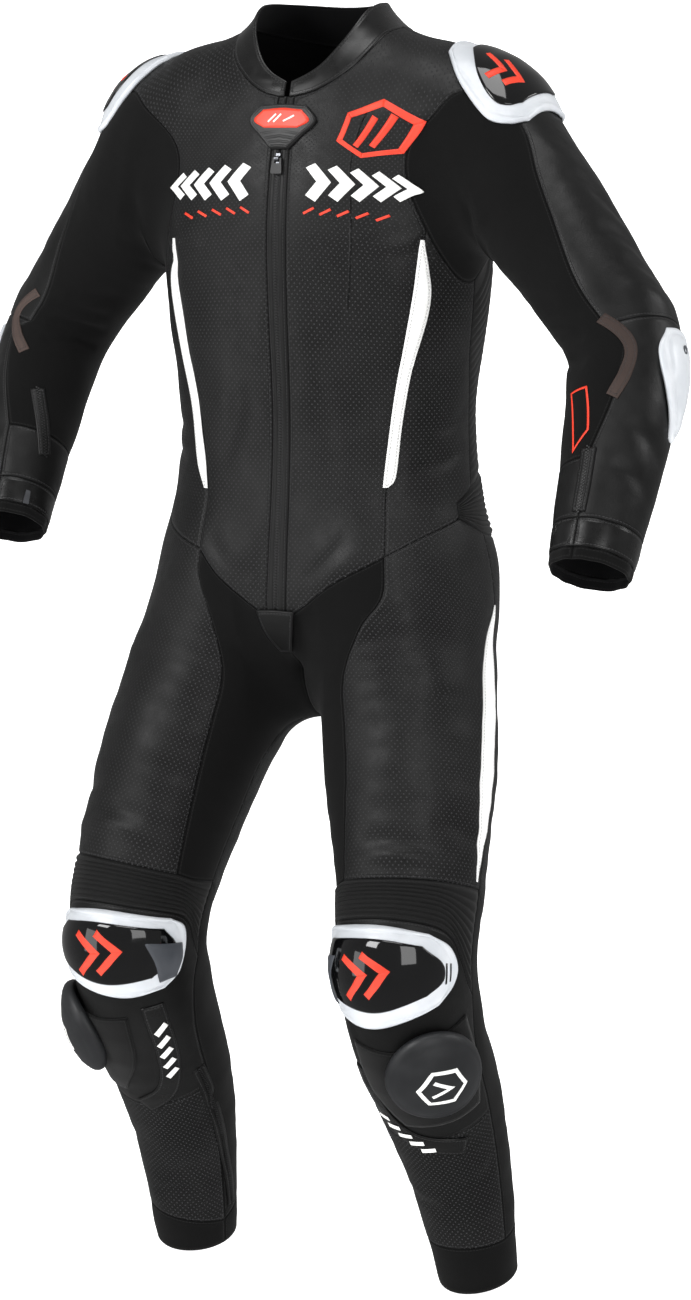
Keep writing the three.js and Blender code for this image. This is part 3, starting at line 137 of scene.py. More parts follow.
bpy.context.scene.view_settings.view_transform = "Standard"

# The figure that the suit is filled out on, in millimetres: rings of the trunk, the legs and the sleeves.
# The cloth lies on its skin, and every seam is a line on one of its limbs.
TRUNK = np.array([
    [-690, 8, 118, 64], [-665, 8, 158, 108], [-630, 6, 180, 131], [-570, 4, 181, 129],
    [-500, 2, 170, 120], [-430, 0, 163, 114], [-380, 0, 167, 116], [-300, 0, 178, 123],
    [-220, 2, 184, 128], [-160, 4, 181, 124], [-110, 6, 172, 115], [-70, 7, 158, 103],
    [-40, 7, 134, 90], [-18, 5, 104, 79], [0, 0, 80, 71], [20, -6, 66, 66],
    [45, -13, 61, 62], [75, -22, 58, 60]], float)
LEG = {1: np.array([
    [84, 2, -600, 94, 124], [104, -22, -700, 95, 108], [126, -58, -800, 90, 96], [144, -96, -910, 77, 84],
    [150, -118, -990, 72, 78], [152, -96, -1070, 69, 76], [158, -45, -1160, 64, 68],
    [166, -4, -1260, 53, 55], [174, 26, -1378, 42, 45]], float), -1: np.array([
        [-84, 2, -600, 94, 124], [-116, -26, -700, 95, 108], [-145, -66, -800, 88, 96],
        [-166, -104, -910, 77, 84], [-174, -120, -990, 72, 78], [-174, -96, -1070, 69, 76],
        [-172, -45, -1160, 63, 66], [-174, -4, -1260, 53, 54], [-178, 26, -1378, 43, 45]], float)}
ARM = {1: np.array([
    [140, 2, -92, 66, 74], [186, -6, -126, 78, 76], [232, -26, -166, 72, 72], [283, -50, -215, 66, 66],
    [336, -74, -272, 60, 61], [380, -92, -330, 58, 58], [392, -132, -398, 55, 54],
    [396, -178, -472, 48, 48], [396, -226, -556, 41, 41]], float), -1: np.array([
        [-140, 4, -92, 66, 74], [-186, 10, -126, 78, 76], [-222, 16, -170, 72, 72],
        [-264, 24, -222, 66, 66], [-310, 30, -280, 60, 60], [-350, 32, -337, 57, 57],
        [-354, -10, -402, 54, 54], [-348, -58, -470, 48, 48], [-340, -108, -552, 40, 40]], float)}
SQUARENESS = 2.2
BLEND_ARM = 44
BLEND_LEG = 30
BLEND_CROTCH = 16
FRONT = np.array([0.0, -1.0, 0.0])
MM = 0.001


def smooth(knots, rows, x):
    """Cubic curve through rows of numbers at the knots, read at all of x: Hermite with mean slopes."""
    knots = np.asarray(knots, float)
    rows = np.asarray(rows, float)
    x = np.asarray(x, float)
    k = np.clip(np.searchsorted(knots, x, side="right") - 1, 0, len(knots) - 2)
    order = np.arange(len(knots))
    low, high = np.maximum(order - 1, 0), np.minimum(order + 1, len(knots) - 1)
    slope = (rows[high] - rows[low]) / (knots[high] - knots[low])[:, None]
    h = (knots[k + 1] - knots[k])[..., None]
    t = np.clip((x - knots[k])[..., None] / h, -0.5, 1.5)
    return ((2 * t ** 3 - 3 * t ** 2 + 1) * rows[k] + (t ** 3 - 2 * t ** 2 + t) * h * slope[k]
            + (3 * t ** 2 - 2 * t ** 3) * rows[k + 1] + (t ** 3 - t ** 2) * h * slope[k + 1])


def unit(a):
    """Vectors brought to length one."""
    return a / np.maximum(np.linalg.norm(a, axis=-1, keepdims=True), 1e-9)


def chain_of(rows):
    """A limb's rings refined fourfold, as rows of segments: start, run, sizes and cross axes."""
    fine = smooth(np.arange(len(rows)), rows, np.linspace(0, len(rows) - 1, 4 * (len(rows) - 1) + 1))
    centre = fine[:, :3]
    run = unit(np.roll(centre, -1, 0) - np.roll(centre, 1, 0))
    run[0] = unit(centre[1] - centre[0])
    run[-1] = unit(centre[-1] - centre[-2])
    e2 = unit(FRONT - run * (run @ FRONT)[:, None])
    e1 = np.cross(e2, run)
    w = centre[1:] - centre[:-1]
    return {"c": centre[:-1], "w": w, "len2": (w * w).sum(1), "dir": unit(w), "a": fine[:-1, 3],
            "b": fine[:-1, 4], "da": np.diff(fine[:, 3]), "db": np.diff(fine[:, 4]),
            "e1": (e1[1:] + e1[:-1]) / 2, "e2": (e2[1:] + e2[:-1]) / 2}


CHAIN = {("arm", s): chain_of(ARM[s]) for s in (1, -1)}
CHAIN.update({("leg", s): chain_of(LEG[s]) for s in (1, -1)})


def trunk_field(p):
    """Rough distance from the trunk: how far a superellipse of its ring must be scaled to reach p."""
    z = np.clip(p[:, 2], TRUNK[0, 0], TRUNK[-1, 0])
    cy, a, b = smooth(TRUNK[:, 0], TRUNK[:, 1:], z).T
    over = np.maximum(TRUNK[0, 0] - p[:, 2], 0) + np.maximum(p[:, 2] - TRUNK[-1, 0], 0)
    m = np.minimum(a, b)
    ring = np.abs(p[:, 0] / a) ** SQUARENESS + np.abs((p[:, 1] - cy) / b) ** SQUARENESS
    return (np.hypot(ring ** (1 / SQUARENESS), over / m) - 1) * m


def limb_field(p, chain):
    """The same for a limb: the least over its segments."""
    rel = p[:, None, :] - chain["c"]
    t = np.clip(np.einsum("nsk,sk->ns", rel, chain["w"]) / chain["len2"], 0, 1)
    rel -= t[..., None] * chain["w"]
    a = chain["a"] + t * chain["da"]
    b = chain["b"] + t * chain["db"]
    m = (a + b) / 2
    size = ((np.einsum("nsk,sk->ns", rel, chain["e1"]) / a) ** 2
            + (np.einsum("nsk,sk->ns", rel, chain["e2"]) / b) ** 2
            + (np.einsum("nsk,sk->ns", rel, chain["dir"]) / m) ** 2)
    return ((np.sqrt(size) - 1) * m).min(1)


def blend(a, b, k):
    """A union of two distances whose crease is rounded over k."""
    h = np.maximum(k - np.abs(a - b), 0) / k
    return np.minimum(a, b) - h * h * k / 4


def field(p, limbs):
    """Distance from the whole figure, with only the limbs that matter for these points."""
    f = trunk_field(p)
    legs = [limb_field(p, CHAIN[key]) for key in limbs if key[0] == "leg"]
    if legs:
        f = blend(f, blend(legs[0], legs[-1], BLEND_CROTCH) if len(legs) > 1 else legs[0], BLEND_LEG)
    for key in limbs:
        if key[0] == "arm":
            f = blend(f, limb_field(p, CHAIN[key]), BLEND_ARM)
    return f


TRUNK_RAYS = [
    [-760, -760, 0], [-640, -640, 0], [-420, -420, 0], [-340, -325, -6], [-270, -228, -14], [-215, -165, -17],
    [-160, -135, -10], [-110, -122, 0], [-75, -118, 13], [-40, -115, 30], [-10, -112, 48], [20, -108, 63],
    [45, -100, 67], [75, -88, 70.5]]
ARM_TILT = [56, 38, 14, 2]
LEG_TILT = [-16, -8, -2]


class Limb:
    """Coordinates on a limb: v in millimetres along its axis, th in degrees round it, 0 in front.

    The skin is found once along a net of rays from the axis, and read from that net afterwards.
    """

    def __init__(self, kind, side, rows, v_range, v_step, th_step, limbs):
        self.kind, self.side = kind, side
        self.v = np.array([row[0] for row in rows], float)
        self.rows = np.array([row[1:] for row in rows], float)
        self.low, self.v_step, self.th_step = v_range[0], v_step, th_step
        count = int(round((v_range[1] - v_range[0]) / v_step)) + 1
        vs = v_range[0] + v_step * np.arange(count)
        ths = -180 + th_step * np.arange(int(round(360 / th_step)))
        v, th = np.meshgrid(vs, ths, indexing="ij")
        c, n, e1, e2, cone = self.frame(v.ravel())
        a = np.radians(th.ravel())[:, None]
        ray = e1 * np.sin(a) + e2 * np.cos(a)
        ray = ray * np.cos(cone) + n * np.sin(cone)
        r = np.full(len(c), 8.0)
        for _ in range(15):
            r = np.clip(r - 0.85 * field(c + ray * r[:, None], limbs), 4, 420)
        slow = r - 0.5
        for _ in range(3):
            f0, f1 = field(c + ray * slow[:, None], limbs), field(c + ray * r[:, None], limbs)
            step = np.where(np.abs(f1 - f0) > 1e-6, f1 * (r - slow) / (f1 - f0 + 1e-12), 0)
            slow, r = r, r - np.clip(step, -4, 4)
        net = (c + ray * r[:, None]).reshape(v.shape + (3,))
        arc = np.linalg.norm(np.roll(net, -1, 1) - net, axis=-1)
        self.girth = arc.sum(1)
        run = np.concatenate([np.zeros((count, 1)), np.cumsum(arc, 1)[:, :-1]], axis=1)
        zero = int(round(180 / th_step))
        wave = run - run[:, zero:zero + 1] - ths / 360 * self.girth[:, None]
        self.net = np.concatenate([net, wave[..., None]], axis=-1)

    def frame(self, v):
        """Centre, axis, outer and front directions and cone angle of the rays at v."""
        row = smooth(self.v, self.rows, v)
        n = unit(row[:, 3:6])
        e2 = unit(FRONT - n * (n @ FRONT)[:, None])
        turn = -self.side if self.kind == "trunk" else self.side
        return row[:, :3], n, np.cross(e2, n) * turn, e2, np.radians(row[:, 6:7])

    def read(self, v, th):
        """Bicubic reading of the net: points and the wave of the arc length."""
        rows, cols = self.net.shape[:2]
        x = np.clip((np.asarray(v, float) - self.low) / self.v_step, 1, rows - 2.001)
        y = (np.asarray(th, float) + 180) / self.th_step
        i, j = np.floor(x).astype(int), np.floor(y).astype(int)
        fx, fy = x - i, y - j

        def weights(f):
            return [(-f + 2 * f ** 2 - f ** 3) / 2, (2 - 5 * f ** 2 + 3 * f ** 3) / 2,
                    (f + 4 * f ** 2 - 3 * f ** 3) / 2, (-f ** 2 + f ** 3) / 2]
        total = 0
        for a, wx in enumerate(weights(fx)):
            for b, wy in enumerate(weights(fy)):
                total = total + (wx * wy)[..., None] * self.net[i + a - 1, (j + b - 1) % cols]
        return total

    def skin(self, v, th):
        """Points on the figure's skin."""
        return self.read(v, th)[..., :3]

    def cloth(self, v, th):
        """Millimetres round the limb from its front, and along it: where a cloth pattern is laid."""
        girth = np.interp(v, self.low + self.v_step * np.arange(len(self.girth)), self.girth)
        return self.read(v, th)[..., 3] + np.asarray(th) / 360 * girth, np.asarray(v, float)

    def normal(self, v, th):
        """Outward directions, from the skin's slopes both ways."""
        along = self.skin(v + 2.0, th) - self.skin(v - 2.0, th)
        around = self.skin(v, th + 1.5) - self.skin(v, th - 1.5)
        n = unit(np.cross(along, around))
        c = self.frame(np.ravel(v))[0].reshape(n.shape)
        return n * np.sign(((self.skin(v, th) - c) * n).sum(-1, keepdims=True))

    def inverse(self, p):
        """The v and th of points on the skin, by halving the range of v."""
        low = np.full(len(p), self.v[0])
        high = np.full(len(p), self.v[-1])
        for _ in range(26):
            mid = (low + high) / 2
            c, n, _, _, cone = self.frame(mid)
            d = p - c
            ax = (d * n).sum(1)
            rho = np.linalg.norm(d - n * ax[:, None], axis=1)
            ahead = ax * np.cos(cone[:, 0]) - rho * np.sin(cone[:, 0]) > 0
            low, high = np.where(ahead, mid, low), np.where(ahead, high, mid)
        c, n, e1, e2, _ = self.frame(low)
        d = p - c
        return np.stack([low, np.degrees(np.arctan2((d * e1).sum(1), (d * e2).sum(1)))], axis=1)


def trunk_limb(side):
    """The trunk's own coordinates, with th growing toward the given side."""
    rows = [[v, 0, 0, z, 0, 0, 1, cone] for v, z, cone in TRUNK_RAYS]
    every = [("leg", 1), ("leg", -1), ("arm", 1), ("arm", -1)]
    return Limb("trunk", side, rows, (-706, 62), 8, 5, every)


def limb_along(kind, side, table, tilts, root, v_range, limbs):
    """A leg's or sleeve's coordinates: rings across its centreline, tilted near the root."""
    centre = table[:, :3]
    steps = np.linalg.norm(np.diff(centre, axis=0), axis=1)
    v = np.concatenate([[0], np.cumsum(steps)])
    rows = []
    for i, c in enumerate(centre):
        ahead, behind = centre[min(i + 1, len(centre) - 1)] - c, c - centre[max(i - 1, 0)]
        d = unit(ahead + behind)
        e2 = unit(FRONT - d * (d @ FRONT))
        e1 = np.cross(e2, d) * side
        tilt = math.radians(tilts[i] if i < len(tilts) else 0)
        rows.append([v[i], *c, *(d * math.cos(tilt) + e1 * math.sin(tilt)), 0])
    root_normal = root[4:7] if len(root) > 4 else rows[0][4:7]
    return Limb(kind, side, [[*root[:4], *root_normal, 0], *rows], v_range, 8, 6, limbs)


BODY = {}
for side in (1, -1):
    BODY[side] = {
        "trunk": trunk_limb(side),
        "arm": limb_along("arm", side, ARM[side][1:], ARM_TILT, [-70, 118 * side, 4, -104, side, 0, 0.12],
                          (-78, 590), [("arm", side)]),
        "leg": limb_along("leg", side, LEG[side], LEG_TILT, [-150, 76 * side, 0, -455], (-158, 862),
                          [("leg", side), ("leg", -side)]),
    }

# Leather of the panels: black cowhide, corrected grain, drum dyed and punched with rows of fine holes.
# The grain gives a dull broken sheen. The holes are painted a matte mid grey as a painted glint: lighter than
# the leather where it lies in shade, and darker than it where its sheen is lit.
HOLE_ACROSS = 6.0
HOLE_ROWS = 6.8
STITCH_PITCH = 3.6
LEATHER = 2.0
STRETCH = 1.6


def noise(tree, vector, scale, detail=3.0, roughness=0.55):
    """A noise read in the given coordinates."""
    return add(tree, "ShaderNodeTexNoise", {"Vector": vector, "Scale": scale, "Detail": detail,
                                            "Roughness": roughness}).outputs["Fac"]


def calc(tree, operation, *values, clamp=False):
    """One sum of values and sockets."""
    made = add(tree, "ShaderNodeMath", dict(enumerate(values)), operation=operation, use_clamp=clamp)
    return made.outputs[0]


def ramp(tree, value, low, high, start=0.0, end=1.0):
    """A soft step from start to end while the value goes from low to high."""
    return add(tree, "ShaderNodeMapRange", {
        "Value": value, "From Min": low, "From Max": high, "To Min": start, "To Max": end,
    }, interpolation_type="SMOOTHSTEP").outputs[0]


def mixed(tree, factor, first, second):
    """A mix of two colours."""
    made = add(tree, "ShaderNodeMix", {0: factor}, data_type="RGBA")
    for socket, value in ((made.inputs[6], first), (made.inputs[7], second)):
        if isinstance(value, bpy.types.NodeSocket):
            tree.links.new(value, socket)
        else:
            socket.default_value = value
    return made.outputs[2]


def stitches(tree, offset=2.7, pitch=STITCH_PITCH):
    """A row of stitches beside the piece's edge: thread marks, and the groove that they pull in."""
    edge = add(tree, "ShaderNodeAttribute", attribute_name="edge")
    parts = add(tree, "ShaderNodeSeparateXYZ", {0: edge.outputs["Vector"]})
    off = calc(tree, "ABSOLUTE", calc(tree, "SUBTRACT", parts.outputs[0], offset))
    dash = calc(tree, "ABSOLUTE", calc(tree, "WRAP", parts.outputs[1], pitch / 2, -pitch / 2))
    thread = calc(tree, "MULTIPLY", ramp(tree, off, 0.35, 0.65, 1, 0), ramp(tree, dash, 1.0, 1.4, 1, 0))
    return thread, ramp(tree, off, 0.4, 1.7, 1, 0)


def holes(tree, across=HOLE_ACROSS, rows=HOLE_ROWS, size=0.85):
    """Punched holes in staggered rows: the nearer of two lattices half a step apart both ways."""
    cloth = add(tree, "ShaderNodeAttribute", attribute_name="cloth").outputs["Vector"]
    distances = []
    for shift in (0.0, 0.5):
        moved = add(tree, "ShaderNodeVectorMath", {0: cloth, 1: (across * shift, rows * shift, 0)})
        near = add(tree, "ShaderNodeVectorMath", {0: moved.outputs[0], 1: (across / 2, rows / 2, 1),
                                                  2: (-across / 2, -rows / 2, -1)}, operation="WRAP")
        distances.append(add(tree, "ShaderNodeVectorMath", {0: near.outputs[0]},
                             operation="LENGTH").outputs["Value"])
    return ramp(tree, calc(tree, "MINIMUM", *distances), size - 0.3, size + 0.25, 1, 0)


def leather(name, colour, worn, rough=0.47, punched=True, stitched=True, grain=0.5, coat=0.0, specular=0.26):
    """Grained leather: pebbles of about a millimetre, soft draw marks, holes and a row of stitches."""
    material, tree = new_material(name)
    place = add(tree, "ShaderNodeTexCoord").outputs["Object"]
    pebbles = add(tree, "ShaderNodeTexVoronoi", {"Vector": place, "Scale": 620.0},
                  feature="SMOOTH_F1").outputs[0]
    draw = noise(tree, place, 75.0, 4.0)
    cloud = noise(tree, place, 9.0, 3.0)
    height = calc(tree, "ADD", calc(tree, "MULTIPLY", pebbles, 0.35 * grain),
                  calc(tree, "MULTIPLY", draw, 0.55))
    colour_now = mixed(tree, ramp(tree, cloud, 0.35, 0.7), linear(colour), linear(worn))
    shine = specular
    if punched:
        hole = holes(tree)
        height = calc(tree, "SUBTRACT", height, calc(tree, "MULTIPLY", hole, 0.9))
        # Painted glint: the holes are coloured a light matte grey to stand for light caught at their rims,
        # where the real holes show the near-black lining.
        colour_now = mixed(tree, calc(tree, "MULTIPLY", hole, 0.9), colour_now, linear("3c3c3d"))
        shine = calc(tree, "MULTIPLY", calc(tree, "SUBTRACT", 1.0, hole), specular)
    if stitched:
        thread, groove = stitches(tree)
        height = calc(tree, "ADD", calc(tree, "SUBTRACT", height, calc(tree, "MULTIPLY", groove, 0.7)),
                      calc(tree, "MULTIPLY", thread, 0.9))
        colour_now = mixed(tree, calc(tree, "MULTIPLY", thread, 0.5), colour_now, linear("3c3c3d"))
    bump = add(tree, "ShaderNodeBump", {"Strength": 0.55, "Distance": 0.0009, "Height": height})
    rough_now = ramp(tree, draw, 0.25, 0.8, rough - 0.06, rough + 0.08)
    shader = add(tree, "ShaderNodeBsdfPrincipled", {
        "Base Color": colour_now, "Roughness": rough_now, "IOR": 1.5, "Normal": bump.outputs[0],
        "Specular IOR Level": shine, "Coat Weight": coat, "Coat Roughness": 0.25})
    add(tree, "ShaderNodeOutputMaterial", {"Surface": shader.outputs[0]})
    return material


PUNCHED_COWHIDE = leather("cowhide_punched_grained", "0f0f0f", "171717")
PLAIN_COWHIDE = leather("cowhide_grained", "0e0e0e", "161616", punched=False, rough=0.44)
SHINY_COWHIDE = leather("cowhide_smooth_glazed", "101010", "171717", punched=False, rough=0.3, grain=0.15,
                        coat=0.12)
WHITE_COWHIDE = leather("cowhide_coated_white", "e8e8e6", "f4f4f3", punched=False, rough=0.4, grain=0.2)
BROWN_SUEDE = leather("cowhide_suede_brown", "3d3431", "4d423e", punched=False, rough=0.85, grain=1.0,
                      specular=0.1)


def stretch_cloth(name, colour, lit, thread=1.6, rough=0.9, sheen=0.03):
    """Woven aramid and elastane stretch: a fine even weave with a soft dark nap and stitched edges."""
    material, tree = new_material(name)
    cloth = add(tree, "ShaderNodeAttribute", attribute_name="cloth").outputs["Vector"]
    place = add(tree, "ShaderNodeTexCoord").outputs["Object"]
    parts = add(tree, "ShaderNodeSeparateXYZ", {0: cloth})
    warp = calc(tree, "SINE", calc(tree, "MULTIPLY", parts.outputs[0], 2 * math.pi / thread))
    weft = calc(tree, "SINE", calc(tree, "MULTIPLY", parts.outputs[1], 2 * math.pi / thread))
    weave = calc(tree, "MULTIPLY", warp, weft)
    fuzz = noise(tree, place, 900.0, 2.0)
    cloud = noise(tree, place, 14.0, 3.0)
    seam_thread, groove = stitches(tree)
    height = calc(tree, "ADD", calc(tree, "MULTIPLY", weave, 0.18), calc(tree, "MULTIPLY", fuzz, 0.35))
    height = calc(tree, "SUBTRACT", height, calc(tree, "MULTIPLY", groove, 0.5))
    patchy = calc(tree, "ADD", calc(tree, "MULTIPLY", fuzz, 0.5), calc(tree, "MULTIPLY", cloud, 0.5))
    colour_now = mixed(tree, patchy, linear(colour), linear(lit))
    colour_now = mixed(tree, calc(tree, "MULTIPLY", seam_thread, 0.35), colour_now, linear("303030"))
    bump = add(tree, "ShaderNodeBump", {"Strength": 0.4, "Distance": 0.0006, "Height": height})
    shader = add(tree, "ShaderNodeBsdfPrincipled", {
        "Base Color": colour_now, "Roughness": rough, "IOR": 1.45, "Normal": bump.outputs[0],
        "Specular IOR Level": 0.12, "Sheen Weight": sheen, "Sheen Roughness": 0.5})
    add(tree, "ShaderNodeOutputMaterial", {"Surface": shader.outputs[0]})
    return material


ARAMID_STRETCH = stretch_cloth("aramid_stretch_woven", "090909", "111111")
RIBBED_STRETCH = stretch_cloth("aramid_stretch_pleated", "0e0e0e", "1e1e1e", rough=0.6, sheen=0.05)
MESH_LINING = stretch_cloth("polyester_mesh_knitted", "0c0c0c", "161618", thread=2.4, rough=0.8)


# Seams: each is a smooth line through a few places on a limb, shared by the two pieces that meet there.
# Panels are cut between four of them, and pulled in at the edges where they are sewn together.
def resampled(points, count=None, at=None):
    """Points at even arc length along a line, or at given fractions of it."""
    steps = np.linalg.norm(np.diff(points, axis=0), axis=1)
    along = np.concatenate([[0], np.cumsum(steps)])
    want = (np.linspace(0, 1, count) if at is None else at) * along[-1]
    return np.stack([np.interp(want, along, points[:, k]) for k in range(3)], axis=-1)


def line(limb, places, step=2.5):
    """A seam on a limb through places of v and th, as points about step apart."""
    places = np.array(places, float)
    fine = smooth(np.arange(len(places)), places, np.linspace(0, len(places) - 1, 30 * (len(places) - 1) + 1))
    points = limb.skin(fine[:, 0], fine[:, 1])
    total = np.linalg.norm(np.diff(points, axis=0), axis=1).sum()
    return resampled(points, max(2, int(total / step)))


def join(*lines):
    """Lines end to end as one."""
    return np.concatenate([lines[0]] + [part[1:] for part in lines[1:]])


def back(points):
    """A line run the other way."""
    return points[::-1].copy()


def tie(points, end, target):
    """Moves one end of a line to a point, with the last steps following it."""
    points = points.copy()
    reach = min(6, len(points) - 1)
    fade = np.linspace(1, 0, reach + 1)[:, None]
    if end == 0:
        points[:reach + 1] += (target - points[0]) * fade
    else:
        points[-reach - 1:] += (target - points[-1]) * fade[::-1]
    return points


def length(points):
    """The length of a line."""
    return np.linalg.norm(np.diff(points, axis=0), axis=1).sum()


PLACKET = 5.2
NECK = [[-57, PLACKET], [-51, 20], [-33, 42], [-13, 66], [-6, 90]]
NECK_BACK = [[-6, 90], [-11, 115], [-15, 145], [-16, 180]]
COLLAR_END = 1.6
COLLAR_TOP = [[-41, COLLAR_END], [-28, 20], [-9, 38], [8, 56], [17, 74], [21, 95], [22, 130], [24, 180]]
# Seams that the worn suit has in other places on each side, as rows of v and th.
CUT = {
    1: {"princess": [[-561, 47], [-489, 51], [-426, 54], [-350, 57], [-270, 60]],
        "stretch": [[30, 14], [69, 1], [126, -15], [181, -18], [235, -21]],
        "knee": [[345, -92], [343, -74], [341, -55], [337, -34], [338, 0], [340, 50], [343, 95]],
        "rib_foot": [[432, -89], [404, -80], [383, -70], [374, -54], [371, 0], [377, 42], [388, 62],
                     [410, 74], [438, 84], [452, 90]],
        "hem": [[770, -72], [768, 0], [774, 72]]},
    -1: {"princess": [[-561, 38], [-489, 43], [-426, 49], [-350, 55], [-270, 58]],
         "stretch": [[23, 3], [69, -10], [126, -27], [181, -33], [238, -38]],
         "knee": [[346, -92], [348, -74], [349, -62], [347, -48], [348, 0], [350, 50], [347, 95]],
         "rib_foot": [[440, -90], [414, -81], [394, -71], [385, -54], [383, 0], [388, 42], [399, 62],
                      [420, 75], [444, 84], [455, 90]],
         "hem": [[798, -72], [783, 0], [776, 72]]},
}


def centre_seam():
    """The seam between the legs, as rays in the middle plane from a hub inside the hips."""
    t = BODY[1]["trunk"]
    hub = np.array([0, 4.0, -625.0])
    top = t.skin(np.array([-634.0]), np.array([0.0]))[0]
    rear = t.skin(np.array([-568.0]), np.array([180.0]))[0]

    def angle(p):
        return math.atan2(-(p[2] - hub[2]), -(p[1] - hub[1]))

    def arc(a0, a1):
        a = np.linspace(a0, a1, 60)
        ray = np.stack([0 * a, -np.cos(a), -np.sin(a)], axis=-1)
        r = np.full(60, 20.0)
        for _ in range(40):
            r = r - 0.7 * field(hub + ray * r[:, None], [("leg", 1), ("leg", -1)])
        return hub + ray * r[:, None]
    return arc(angle(top), math.pi / 2), arc(math.pi / 2, angle(rear) % (2 * math.pi))


FRONT_CENTRE, REAR_CENTRE = centre_seam()
SEAMS = {}
